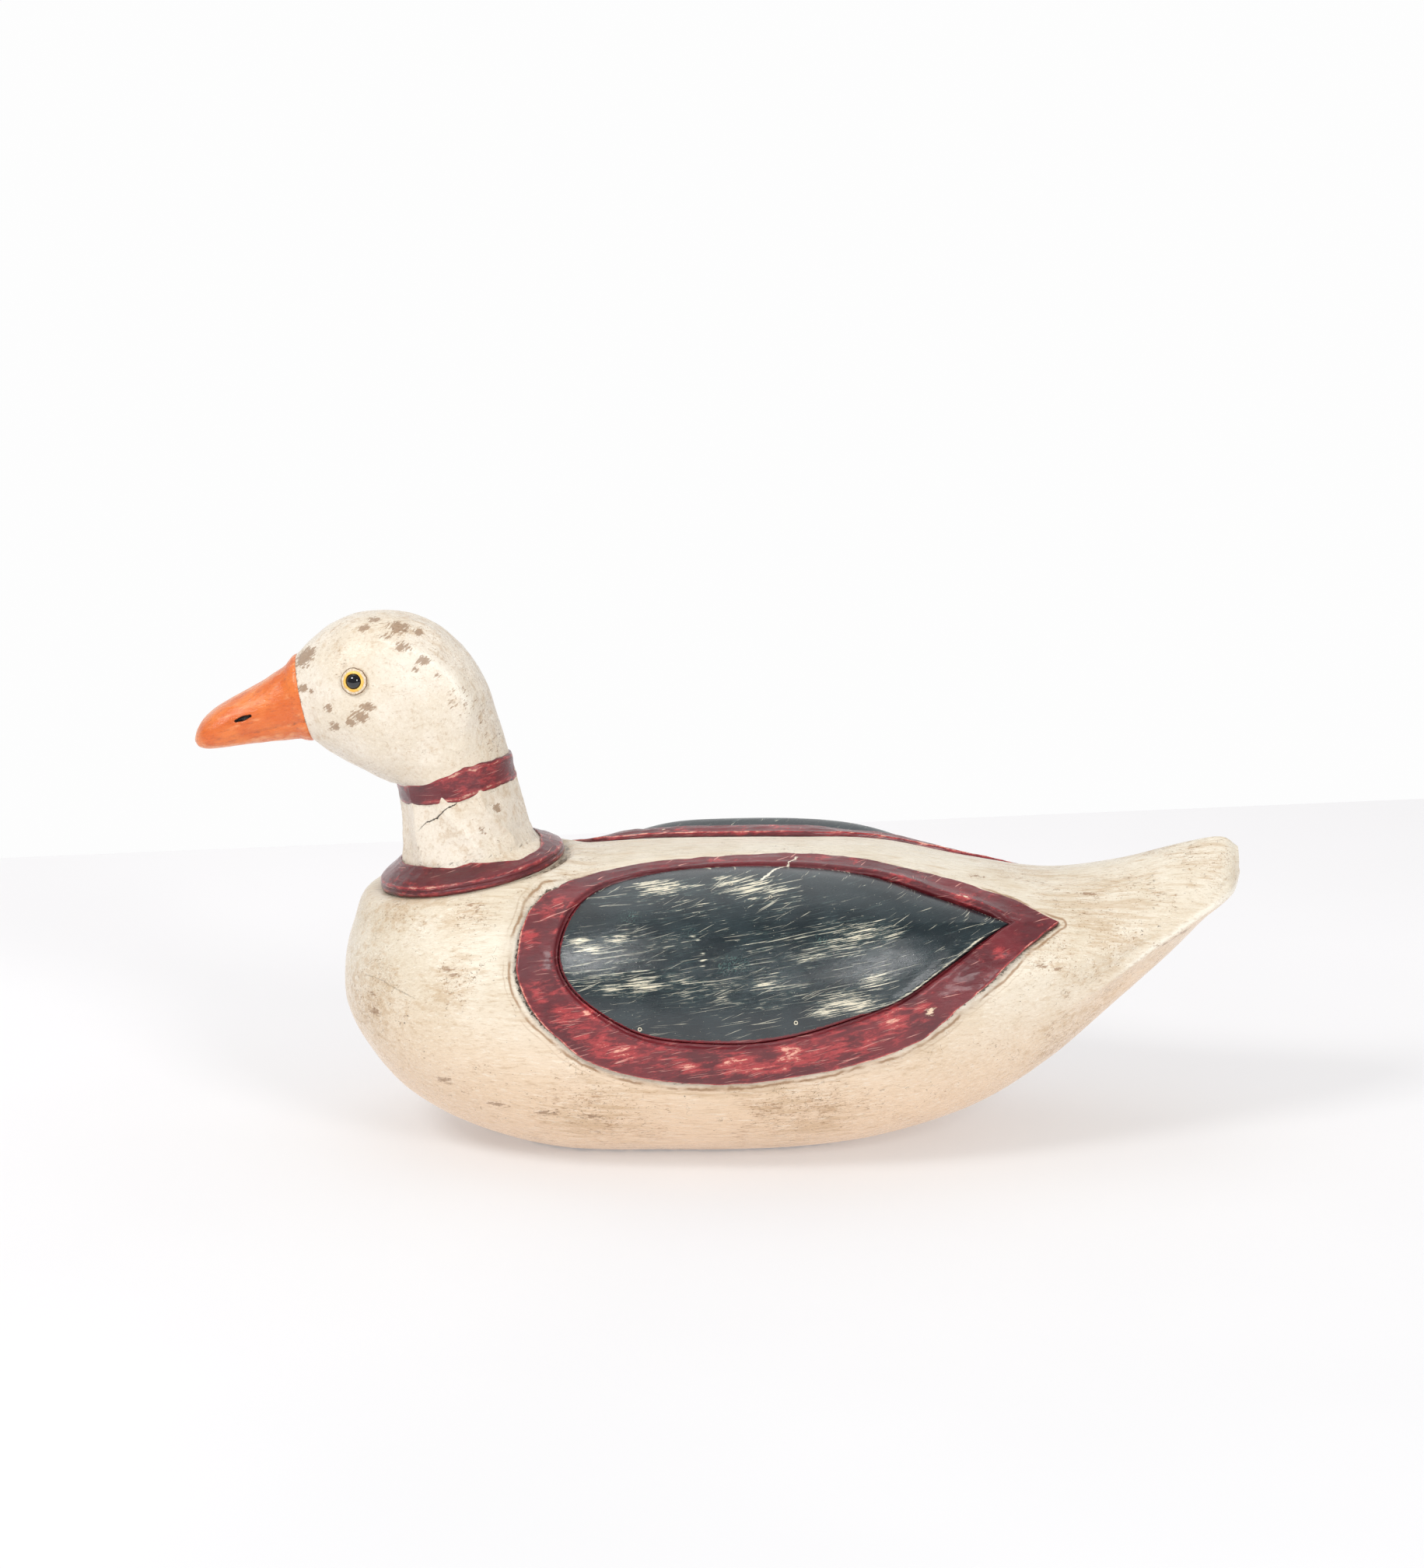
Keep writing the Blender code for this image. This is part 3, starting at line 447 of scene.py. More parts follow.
def cream_paint(name, tones, warm, streaks, brush, shift, grooved=False):
    """Aged cream paint: brown glaze left in brush marks, flecks, smudges, stains, hairlines; painted shade
    and highlights.
    """
    p = Paint(name, shift)
    tan, glaze = (0.75, 0.545, 0.37), (0.46, 0.30, 0.15)
    p.colour = p.blend(p.span(p.noise(24, 3), 0.38, 0.62), *tones)
    # Tan towards the bottom: partly the paint's own tone and partly painted shade with warm light from the
    # floor.
    p.over(p.times(p.field("low"), warm), tan)
    wash = p.noise(2.6, 6, 0.68, stretch=streaks, shift=3)
    where = p.noise(30, 2, shift=13)
    amount = p.sum("ADD", p.times(where, 0.30, wash), p.times(p.field("darkening"), 0.12))
    p.over(p.span(amount, 0.70, 0.88, 0, 0.45), glaze)
    # A painted highlight: light cream along the tail's hard edge and the head's carved ridge.
    p.over(p.times(p.field("painted_highlight"), 0.75), (0.84, 0.80, 0.70))
    # Light chalky dabs and fine dark hairs follow the brush.
    fine = p.noise(0.55, 5, 0.72, stretch=[value * 1.6 for value in streaks], shift=5, warp=0.3)
    p.over(p.span(fine, 0.53, 0.66, 0, 0.34), (0.40, 0.26, 0.14))
    p.over(p.span(fine, 0.47, 0.34, 0, 0.40), (0.84, 0.79, 0.69))
    # Short dark flecks follow the grain and gather in clusters.
    cluster = p.span(p.noise(13, 3, 0.6, shift=7), 0.48, 0.66)
    cluster = p.sum("ADD", p.times(p.field("low"), 0.45, cluster), p.field("darkening"))
    flecks = p.noise(0.62, 3, 0.65, stretch=(3.6, 1, 1.1), turn=(0, -9, 0), shift=9, warp=0.5)
    flecks = p.span(p.times(cluster, 0.07, flecks), 0.71, 0.77, 0, 0.62)
    p.over(flecks, (0.28, 0.145, 0.06))
    grain = p.noise(0.42, 4, 0.7, stretch=(7, 1, 1), turn=(0, -5, 0), shift=27, warp=0.4)
    grain = p.span(p.times(cluster, 0.07, grain), 0.63, 0.72, 0, 0.45)
    p.over(grain, (0.40, 0.21, 0.09))
    dots = p.times(p.field("darkening"), 0.13, p.noise(0.85, 2, 0.6, shift=19, warp=0.4))
    p.over(p.span(dots, 0.755, 0.79, 0, 0.7), (0.30, 0.18, 0.09))
    hairs = p.near(p.noise(13, 4, 0.6, shift=15), 0.5, 0.0012, 0.0035)
    hairs = p.times(hairs, p.span(p.noise(11, 2, shift=17), 0.56, 0.64, 0, 0.75))
    p.over(hairs, (0.20, 0.13, 0.07))
    # A stain is a few dry brush dabs close together.
    torn = p.noise(0.5, 4, 0.7, stretch=(6, 6, 1), turn=(0, brush, 0), shift=12)
    ragged = p.noise(1.9, 4, 0.65, shift=11)
    ragged = p.times(ragged, 0.8, p.times(torn, 1.5, -0.35))
    stained = p.span(p.times(p.field("stain"), 0.84, ragged), 1.17, 1.29, 0, 0.8)
    p.over(stained, p.blend(torn, (0.12, 0.06, 0.026), (0.42, 0.26, 0.15)))
    # Dark brown in creases and at joints as painted shade, and on dirty spots as real dirt.
    soiled_and_shaded = p.span(p.times(p.field("grime_and_shade"), 0.7, ragged), 1.15, 1.5, 0, 0.85)
    p.over(soiled_and_shaded, (0.12, 0.08, 0.045))
    cracked = p.crack(0.28)
    p.over(cracked, (0.06, 0.045, 0.03))
    pits = cracked
    if grooved:
        pits = groove_layers(p)
    bare = p.noise(1.2, 4, 0.6, stretch=(6, 1, 1), shift=31)
    p.over(p.field("bare"), p.blend(bare, (0.42, 0.27, 0.14), (0.62, 0.45, 0.28)))
    gloss = p.span(wash, 0.35, 0.7, 0.23, 0.42)
    height = p.times(fine, 0.5, p.times(wash, 0.55))
    height = p.sum("SUBTRACT", height, p.times(p.sum("ADD", flecks, pits), 0.35))
    return p.finish(gloss, height, 0.4, Specular_IOR_Level=0.5)


def groove_layers(p):
    """The knife groove beside the wing boards: a chalky band, crumbs of dirt in it and a brown line."""
    halo = p.times(p.noise(5, 3, shift=21), 1.6, p.field("halo"))
    front = p.field("front")
    chalk = p.times(p.span(halo, 3.2, 2.2), p.times(front, 0.45, 0.05))
    lump = p.noise(1.3, 4, 0.65, stretch=(1.6, 1, 1), shift=29)
    chalk = p.times(chalk, p.span(lump, 0.36, 0.52, 0.35, 1.0))
    p.over(chalk, (0.90, 0.85, 0.73))
    grit = p.noise(0.9, 4, 0.7, stretch=(1.6, 1, 1), shift=23)
    crumbs = p.times(p.span(halo, 2.6, 0.9), 0.24, grit)
    crumbs = p.times(p.noise(7, 2, shift=27), 0.25, crumbs)
    pits = p.span(crumbs, 0.81, 0.85)
    p.over(p.times(pits, p.times(front, 0.5, 0.4)), (0.05, 0.03, 0.02))
    edge = p.times(front, 0.6, 3.1)
    broken = p.span(p.noise(9, 3, shift=25), 0.36, 0.56, 0, 0.8)
    line = p.times(p.near(halo, edge, 0.1, 0.7), broken)
    p.over(line, (0.30, 0.16, 0.07))
    outer = p.times(p.near(halo, p.sum("ADD", edge, 1.9), 0.0, 0.45), p.times(broken, front))
    p.over(p.times(outer, 0.4), (0.36, 0.22, 0.11))
    return pits


def red_layers(p, streaks, shift):
    """Colour, rub and relief of the crimson paint, scuffed bright on high parts, with painted highlights on
    edges.
    """
    tone = p.span(p.noise(16, 4, shift=shift), 0.36, 0.64)
    colour = p.blend(tone, (0.10, 0.009, 0.014), (0.165, 0.015, 0.021))
    long = [value * 2.2 for value in streaks]
    rub = p.noise(0.8, 6, 0.76, stretch=long, turn=(0, -12, 0), shift=shift + 2, warp=0.3)
    patch = p.noise(11, 3, shift=shift + 4)
    # Brighter red where scuffed, and painted highlights where the field marks edges and crests.
    worn_and_highlit = p.times(patch, 0.22, p.times(p.field("wear_and_highlight"), 0.26, rub))
    colour = p.blend(p.span(worn_and_highlit, 0.66, 0.84, 0, 0.85), colour, (0.45, 0.043, 0.046))
    colour = p.blend(p.span(worn_and_highlit, 0.86, 0.94, 0, 0.92), colour, (0.80, 0.42, 0.31))
    marks = 0.0
    for turn, size, long in ((-18, 0.3, 36), (-8, 0.28, 46)):
        thin = p.noise(size, 1, 0.4, stretch=(long, long, 1), turn=(0, turn, 0), shift=shift + turn)
        broken = p.noise(8, 2, shift=shift - turn)
        thin = p.times(broken, 0.25, p.times(p.field("wear_and_highlight"), 0.07, thin))
        marks = p.sum("MAXIMUM", p.span(thin, 0.86, 0.92, 0, 0.75), marks)
    colour = p.blend(marks, colour, (0.72, 0.34, 0.28))
    return colour, rub


def red_paint(name, streaks, shift, deep=0.0):
    """Crimson paint, scuffed on its high parts, chipped to the ground, with painted shade in its valleys and
    joints.
    """
    p = Paint(name, shift)
    p.colour, rub = red_layers(p, streaks, 0)
    if deep:
        p.over(deep, (0.045, 0.004, 0.008))
    dark = p.noise(0.8, 4, 0.7, stretch=streaks, shift=6)
    p.over(p.span(dark, 0.44, 0.32, 0, 0.5), (0.05, 0.006, 0.009))
    # Painted shade, near black, in the rim's valley, at the foot of its wall and where ring and collar meet
    # the wood.
    soiled_and_shaded = p.span(p.times(p.field("grime_and_shade"), 0.9, dark), 0.9, 1.3, 0, 0.8)
    p.over(soiled_and_shaded, (0.035, 0.008, 0.008))
    chipped = p.span(p.times(rub, 1.1, p.field("chip")), 1.16, 1.24)
    p.over(chipped, (0.80, 0.60, 0.43))
    cracked = p.crack(0.4)
    p.over(cracked, (0.80, 0.72, 0.58))
    height = p.times(dark, 0.5, rub)
    height = p.sum("SUBTRACT", height, p.times(chipped, 0.4))
    return p.finish(p.span(rub, 0.3, 0.7, 0.13, 0.27), height, 0.4, Specular_IOR_Level=0.55,
                    Coat_Weight=0.2, Coat_Roughness=0.15)


def dark_paint(name, shift):
    """Blue-black paint with scuffed cream patches, long scratches and a soft sheen; its edge is red with
    painted shade.
    """
    p = Paint(name, shift)
    p.colour = p.blend(p.span(p.noise(14, 4), 0.35, 0.65), (0.0045, 0.012, 0.016), (0.013, 0.025, 0.030))
    wear_and_highlight = p.field("wear_and_highlight")
    rising = (0, -8, 0)
    hairs = p.noise(0.28, 3, 0.75, stretch=(44, 44, 1), turn=rising, shift=1, warp=0.08)
    patch = p.noise(3.2, 6, 0.72, stretch=(3, 3, 1), turn=rising, shift=2)
    amount = p.times(wear_and_highlight, 0.50, p.times(patch, 0.42, p.times(hairs, 1.9)))
    p.over(p.span(amount, 1.34, 1.54, 0, 0.40), (0.10, 0.16, 0.15))
    p.over(p.span(amount, 1.53, 1.61, 0, 0.92), (0.82, 0.74, 0.56))
    marks = 0.0
    for turn, size, long in ((-6, 0.32, 80), (-10, 0.28, 110), (-15, 0.3, 70), (-24, 0.3, 50)):
        lines = p.noise(size, 1, 0.4, stretch=(long, long, 1), turn=(0, turn, 0), shift=turn)
        broken = p.noise(9, 2, shift=-turn)
        lines = p.times(broken, 0.3, p.times(wear_and_highlight, 0.10, lines))
        marks = p.sum("MAXIMUM", p.span(lines, 0.895, 0.935, 0, 0.65), marks)
    p.over(marks, (0.58, 0.55, 0.43))
    nicks = p.span(p.noise(0.6, 2, 0.6, shift=8), 0.725, 0.75, 0, 0.7)
    p.over(nicks, (0.68, 0.64, 0.50))
    tan = p.span(p.times(patch, 0.5, p.field("stain")), 0.9, 1.05, 0, 0.75)
    p.over(tan, (0.60, 0.33, 0.16))
    brown = p.span(p.times(patch, 0.5, p.field("mark")), 0.9, 1.1, 0, 0.6)
    p.over(brown, (0.19, 0.08, 0.07))
    combed = p.noise(0.45, 3, 0.6, stretch=(1, 1, 12), turn=(0, 25, 0), shift=12)
    teal = p.times(p.span(p.field("teal"), 0.2, 0.7), p.span(combed, 0.55, 0.62, 0, 0.5))
    p.over(teal, (0.18, 0.33, 0.28))
    red, _ = red_layers(p, (4, 2, 1), 60)
    edge = p.noise(1.8, 4, 0.65, shift=9)
    p.over(p.span(p.times(edge, 1.6, p.field("red")), 0.75, 1.0), red)
    # Painted shade, near black, at the panel's very edge in the valley by the rim.
    soiled_and_shaded = p.span(p.times(edge, 0.8, p.field("grime_and_shade")), 0.8, 1.3, 0, 0.8)
    p.over(soiled_and_shaded, (0.012, 0.008, 0.008))
    p.over(p.crack(0.55), (0.86, 0.80, 0.66))
    gloss = p.span(p.noise(5, 4, 0.6, stretch=(3, 3, 1), turn=rising, shift=10), 0.3, 0.7, 0.19, 0.30)
    brushed = p.noise(0.5, 3, 0.6, stretch=(1, 1, 14), turn=(0, 12, 0), shift=11)
    height = p.times(brushed, 0.3, p.times(hairs, 0.3, p.times(patch, 0.3)))
    return p.finish(gloss, height, 0.25, Specular_IOR_Level=0.8)


def orange_paint():
    """Orange bill paint: scuffed pale, with painted highlights on ridge and underside; brown in the grooves,
    partly painted shade.
    """
    p = Paint("bill_orange")
    p.colour = p.blend(p.span(p.noise(10, 4), 0.36, 0.64), (0.62, 0.125, 0.022), (0.74, 0.20, 0.045))
    rub = p.noise(2.2, 5, 0.65, stretch=(2.5, 1, 1), turn=(0, -20, 0), shift=4)
    # Pale where scuffed, and painted highlights along the top ridge and on the underside.
    worn_and_highlit = p.times(p.field("wear_and_highlight"), 0.22, rub)
    p.over(p.span(worn_and_highlit, 0.55, 0.76, 0, 0.6), (0.86, 0.42, 0.20))
    dark = p.noise(0.9, 4, 0.7, stretch=(4, 1, 1), turn=(0, -12, 0), shift=7)
    p.over(p.span(dark, 0.52, 0.66, 0, 0.55), (0.40, 0.085, 0.025))
    # Brown in the grooves and at the root: dirt together with painted shade.
    soiled_and_shaded = p.span(p.times(p.field("grime_and_shade"), 0.9, dark), 0.85, 1.2, 0, 0.7)
    p.over(soiled_and_shaded, (0.26, 0.08, 0.025))
    hole = p.span(p.field("hole"), 0.4, 0.6)
    p.over(hole, (0.006, 0.005, 0.005))
    height = p.times(dark, 0.5, rub)
    return p.finish(p.span(rub, 0.3, 0.7, 0.2, 0.36), height, 0.35, Specular_IOR_Level=0.55)


def plain_paint(
        name, first, second, size, roughness, depth, metallic=0.0, darkening=(0.1, 0.08, 0.06), stretch=(1, 1, 1)):
    """Two close colours in lumps with dirt in their low places, for small parts and metal."""
    p = Paint(name)
    lump = p.noise(size, 4, 0.6, stretch=stretch)
    p.colour = p.blend(p.span(lump, 0.35, 0.65), first, second)
    dirt = p.noise(size / 2, 5, 0.7, stretch=stretch, shift=3)
    p.over(p.span(dirt, 0.55, 0.75, 0, 0.6), darkening)
    gloss = p.span(dirt, 0.3, 0.7, roughness, roughness + 0.2)
    return p.finish(gloss, dirt, depth, Metallic=metallic)


def putty_paint():
    """Cream putty with a broken brown line at its outer edge."""
    p = Paint("cracked_putty")
    crumb = p.noise(0.8, 4, 0.7, shift=2)
    p.colour = p.blend(p.span(crumb, 0.4, 0.6), (0.74, 0.64, 0.50), (0.58, 0.45, 0.31))
    line = p.span(p.times(crumb, 1.6, p.field("wear_and_highlight")), 1.35, 1.55)
    p.over(line, (0.22, 0.13, 0.07))
    return p.finish(p.span(crumb, 0.3, 0.7, 0.4, 0.6), p.sum("SUBTRACT", crumb, line), 0.25)


def nail_paint():
    """A small nail head: paint rubbed off its raised rim, dirt in its dish."""
    p = Paint("nail_head")
    speck = p.noise(0.4, 3, 0.6)
    bright = p.span(p.times(speck, 0.5, p.field("wear_and_highlight")), 0.55, 0.95)
    p.colour = p.blend(bright, (0.03, 0.035, 0.035), (0.62, 0.57, 0.45))
    return p.finish(p.span(speck, 0.3, 0.7, 0.3, 0.5), speck, 0.03, Metallic=0.25)


def glass_paint():
    """Black glass with faint scuffs."""
    p = Paint("eye_glass_black")
    scuff = p.noise(1.2, 4, 0.6)
    p.colour = p.blend(p.span(scuff, 0.5, 0.8), (0.003, 0.003, 0.005), (0.03, 0.03, 0.04))
    return p.finish(p.span(scuff, 0.4, 0.8, 0.04, 0.2), scuff, 0.02, Coat_Weight=0.6, Coat_Roughness=0.04)


def wing_flat(across, inward):
    """
    Places (x, angle) of one ring of a wing board: across is 0 at the rim's outer edge and 1 at the
    panel's edge, inward is 0 at the panel's edge and 1 at its middle.
    """
    rows = fine_rows(WING_OUTLINE, WING_POINTS + 1)[:-1]
    flat = rows[:, :2] * (1 - across) + rows[:, 2:] * across
    return flat * (1 - inward) + np.array(WING_MIDDLE) * inward


def on_body(flat, proud, side):
    """Points at a height over the body's surface, on one side."""
    x, angle = flat[..., 0], flat[..., 1]
    return (body_point(x, angle) + body_normal(x, angle) * np.asarray(proud)[..., None]) * (1, side, 1)


def inside_outline(flat, outline):
    """Whether places (x, angle) lie inside a closed outline."""
    inside = np.zeros(flat.shape[:-1], bool)
    x, angle = flat[..., 0], flat[..., 1]
    for (ax, ay), (bx, by) in zip(outline, np.roll(outline, -1, axis=0)):
        crosses = (ay > angle) != (by > angle)
        reach = ax + (angle - ay) / (by - ay if by != ay else 1e-9) * (bx - ax)
        inside ^= crosses & (x < reach)
    return inside


def nearest(points, line):
    """Distance from each point to the nearest of many points."""
    best = np.full(points.shape[:-1], 1e9)
    for start in line:
        best = np.minimum(best, np.sum((points - start) ** 2, axis=-1))
    return np.sqrt(best)


BODY_RINGS = 380
BODY_AROUND = 300
# Smudges and flecks on the body: x, y, z and size.
BODY_STAINS = (
    (-86.1, -38.8, 95.1, 3), (-97.3, -52.3, 34.5, 2.6), (-95.3, -53.9, 76.3, 1.6),
    (-92.7, -55.7, 74.5, 1.3), (-90, -52, 84, 1.3), (-98, -53.5, 66, 1.1), (-122, -40, 63, 1.8),
    (-121, -42, 57, 2.2), (-78.3, -55, 26.3, 2), (-61.2, -58, 24.5, 2.4), (-44.8, -59.5, 23.5, 1.8),
    (-52, -58, 20, 1.6), (159, -30.2, 78.8, 2.2), (168.2, -25.7, 82.3, 2.6), (164, -27.8, 80.6, 1.8),
    (121, -46.1, 74.1, 1.2), (115, -47.4, 75.5, 1.2), (94.8, -13.4, 99.3, 1.6), (134, -20.6, 94.5, 1.7),
    (150, 33, 74, 2.5), (168, 27, 84, 2), (-92, 50, 80, 2.4), (-104, 46, 52, 2.2), (128, 36, 84, 2),
    (-40, 60, 26, 2.4), (60, 52, 22, 2.4), (-60, 30, 98, 2),
)
# Areas where dirt gathers: x, y, z and size.
BODY_SOIL = (
    (-124, -36, 60, 13), (-112, -30, 92, 9), (-60, -38, 97, 10), (-86, -40, 92, 8),
    (142.6, -35.6, 83, 10), (152.5, -19.7, 96.4, 9), (176.7, -10.7, 105, 9), (120, -40, 78, 9),
    (130, -24, 92, 12), (128, -30, 45, 12), (-40, -62, 24, 14), (30, -60, 22, 16), (-92, -54, 72, 8),
    (-50, 10, 103, 16), (-52, -16, 104, 12), (-124, 36, 60, 12), (142, 36, 83, 12), (120, 42, 70, 12),
    (-60, 40, 95, 12), (-30, 62, 24, 14), (60, 58, 26, 14), (160, 10, 100, 12), (110, 0, 97, 12),
)
# Cracks as places (x, angle): one over the left wing boards and a hairline in the breast.
CRACK = ((29.2, 75.5), (26.8, 72.5), (24.7, 70.0), (22.2, 67.5), (20.1, 65.0), (18.3, 61.5), (15.5, 58.0))
HAIRLINE = ((-126, 18.5), (-121, 17.5), (-115, 14), (-107, 10))


def make_body(cream):
    """The body: carved lumps, a groove round each wing board, the neck's seat and the tail's edge."""
    first, last = BODY_SECTIONS[0][0], BODY_SECTIONS[-1][0]
    t = np.linspace(0, 1, BODY_RINGS)
    even = t - 0.93 * np.sin(2 * math.pi * t) / (2 * math.pi)
    rounded = 0.5 - 0.5 * np.cos(math.pi * t)
    x = first + (last - first) * np.where(t < 0.5, rounded, 0.5 * rounded + 0.5 * even)
    half = np.linspace(90, -90, BODY_AROUND // 2 + 1)
    angle = np.concatenate([half, half[-2:0:-1]])
    side = np.concatenate([np.ones(len(half)), -np.ones(len(half) - 2)])
    mirror = np.stack([side ** 2, side, side ** 2], axis=-1)
    flat = np.stack(np.broadcast_arrays(x[:, None], angle[None, :]), axis=-1)
    grid = body_point(flat[..., 0], flat[..., 1]) * mirror
    normal = grid_normals(grid)
    grid = grid + normal * (0.28 * lumps(grid, (42, 22, 22)) + 0.10 * lumps(grid, (14, 7, 7), 1))[..., None]

    outline = wing_flat(0, 0)
    rim_line = body_point(outline[::2, 0], outline[::2, 1])
    near = (flat[..., 1] > -35) & (np.abs(flat[..., 0] - 25) < 112)
    away = np.full(flat.shape[:-1], 99.0)
    away[near] = nearest((grid * mirror)[near], rim_line)
    signed = np.where(inside_outline(flat, outline), -away, away)
    # The groove is widest at the front and along the bottom of the board.
    front = np.clip(rise(flat[..., 0], 60, -30) + rise(flat[..., 1], 30, 0), 0, 1)
    reach = 3.0 + 2.6 * front + 0.8 * lumps(grid, 18, 4)
    depth = 0.7 + 0.9 * front
    groove = -depth * np.clip(1 - signed / reach, 0, 1) ** 1.6 + 0.22 * bump(signed, reach + 1.2, 1.6)
    drop = np.where(signed > 0, groove, -depth - 1.6 * rise(-signed, 0.2, 2.2))
    grid = grid + normal * drop[..., None]
    # Dark along the rim's outer edge: black crust together with painted shade at the foot of the rim's wall.
    grime_and_shade = 0.9 * bump(signed, 0.0, 0.7)
    halo = np.clip(signed, -1, 14) + 0.7 * lumps(grid, 9, 12)

    turn, radius, height = to_neck(grid)
    wanted = np.interp(radius, (0, 27, 33, 36, 60), (-1.2, -1.2, -0.1, 0.5, 0.5))
    pull = rise(radius, 47, 36) * rise(height, -14, -6)
    crevice = bump(turn, -22, 26) + 0.6 * bump(turn, 40, 30)
    wanted = wanted - 1.3 * crevice * bump(radius, 35.6, 1.3)
    seated = from_neck(turn, radius, height * (1 - pull) + wanted * pull)
    grid = np.where((pull > 0)[..., None], seated, grid)
    # Painted shade in the crevice behind the neck's seat and round the collar's foot.
    grime_and_shade = grime_and_shade + 0.9 * crevice * bump(radius, 36.0, 1.5) + 0.55 * bump(radius, 34.6, 1.0) * pull

    # The tail's hard edge between its top and its underside.
    edge_height = np.interp(grid[..., 0], (120, 137, 157, 174, 187, 192), (56, 65, 78.6, 88, 94, 98))
    below = grid[..., 2] - edge_height
    share = rise(grid[..., 0], 118, 150)
    ridge = 1.7 * np.clip(1 - np.abs(below) / 4.0, 0, 1) - 1.1 * bump(below, -8, 4.5)
    grid = grid + normal * (share * ridge)[..., None]
    grid[..., 2] = np.maximum(grid[..., 2], 0.0)

    # A painted contact shadow along the flat bottom, where it meets the floor.
    grime_and_shade = grime_and_shade + 0.9 * rise(grid[..., 2], 1.6, 0.6)
    # Tan towards the bottom is partly the paint's own tone and partly painted shade with warm floor light;
    # the tail's underside is painted tan.
    low = np.clip(rise(grid[..., 2], 82, 12) + 0.6 * share * rise(below, 0.4, -0.6), 0, 1)
    stain = 0.76 * spots(grid, BODY_STAINS, (2.2, 1.1, 0.65))
    behind_seat = 0.8 * between(grid[..., 0], -66, -50, -50, -30) * (grid[..., 2] > 96)
    darkening = np.maximum(np.clip(1.5 * spots(grid, BODY_SOIL), 0, 1), behind_seat)
    crack, _, runs = crack_across(flat, HAIRLINE, (1, 0.9))
    fields = {
        "low": low, "grime_and_shade": grime_and_shade, "stain": stain, "darkening": darkening, "halo": halo, "front": front,
        # A painted highlight in light cream along the tail's hard edge.
        "painted_highlight": share * bump(below, 0.6, 1.0) * rise(grid[..., 0], 138, 152),
        "crack": crack, "crack_span": 0.35 * (runs & (side < 0)), "bare": 0.0}
    body = grid_piece("body", grid, cream, fields)
    drill_underside(body)
    return body


def cutter(points, faces):
    """A closed solid, in millimetres, that a Boolean takes away; the cut faces are bare wood."""
    mesh = bpy.data.meshes.new("cutter")
    mesh.from_pydata([(Vector(point) * MM) for point in points], [], faces)
    bare = mesh.attributes.new("bare", "FLOAT", "POINT")
    bare.data.foreach_set("value", np.ones(len(points), np.float32))
    return bpy.data.objects.new("cutter", mesh)


def drum_cutter(radius, base, axis, length):
    """A round cutter from a base point along an axis."""
    steps = 48
    spin = Vector(axis).to_track_quat("Z", "Y").to_matrix()
    turns = np.linspace(0, 2 * math.pi, steps, endpoint=False)
    points = [Vector(base) + spin @ Vector((radius * math.cos(t), radius * math.sin(t), h))
              for h in (0, length) for t in turns]
    faces = [(k, (k + 1) % steps, (k + 1) % steps + steps, k + steps) for k in range(steps)]
    return cutter(points, faces + [tuple(range(steps))[::-1], tuple(range(steps, 2 * steps))])


def drill_underside(body):
    """Cut the ballast pocket, the bore of the head bolt and the recess of the line staple."""
    half = (31.3, 11.3)
    corners = ((-1, -1), (1, -1), (1, 1), (-1, 1))
    points = [(8 + sx * half[0], sy * half[1], z) for z in (-2, 11.6) for sx, sy in corners]
    faces = [(3, 2, 1, 0), (4, 5, 6, 7), (0, 1, 5, 4), (1, 2, 6, 5), (2, 3, 7, 6), (3, 0, 4, 7)]
    axis = NECK_AXES[2]
    foot = SEAT_CENTRE - axis * 110
    recess = drum_cutter(7, (-48, 0, -4), (0, 0, 1), 10)
    tools = (cutter(points, faces), drum_cutter(12.5, foot, axis, 34), recess)
    for tool in tools:
        bpy.context.scene.collection.objects.link(tool)
        cut = body.modifiers.new("cut", "BOOLEAN")
        cut.operation = "DIFFERENCE"
        cut.solver = "EXACT"
        cut.object = tool
    whole = bpy.data.meshes.new_from_object(body.evaluated_get(bpy.context.evaluated_depsgraph_get()))
    body.modifiers.clear()
    body.data = whole
    for tool in tools:
        bpy.data.objects.remove(tool)


def board_crack(flat, side):
    """The crack's fields on the left wing board."""
    crack, _, runs = crack_across(flat, CRACK, (1, 1.1), 0.01)
    return {"crack": crack, "crack_span": runs & (side < 0)}


def board_spots(grid, places, side, stretch=(1.5, 1, 1)):
    """Spots on a wing board; the far board has its own, less regular ones."""
    table = np.array(places, float)
    if side > 0:
        table = table * (-0.8, 0.9, 0.8) + (20, 6, 0.3)
    centres = on_body(table[:, :2], np.full(len(table), 3.0), side)
    return spots(grid, [(*centre, size) for centre, size in zip(centres, table[:, 2])], stretch)


# Spots on the wing boards, here and in the tables of the panel: x, angle and size.
RIM_RUBS = (
    (-57.3, 54.5, 3.4), (-61.2, 48.5, 2.6), (-61.9, 18, 3.4), (-52.7, 9, 3.2), (-44.2, 11, 2.2),
    (-33.7, -2.5, 2.6), (-11.4, -7, 2.6), (6.3, -6, 3.2), (24, -3, 2.2), (40.4, 75, 2.6),
    (49.6, 73, 2.2), (66, 63.5, 2.4), (88.2, 55.5, 2.4), (71.8, 4.5, 2.4), (62, 2.5, 2.8),
    (-66, 38, 2.6), (100, 25, 2.2), (0, 74, 2),
)
RIM_CHIPS = (
    (74.5, 2.5, 2.6), (62, 2.5, 1.4), (71.8, 4.5, 1.2), (-57.3, 54.5, 1.3), (-61.9, 18, 1.4),
    (-44.2, 11, 1), (6.3, -6, 1.4), (49.6, 73, 1), (88.2, 55.5, 1), (-59.2, 63, 1.5), (118, 40, 1.4),
    (-11.4, -7, 0.9),
)


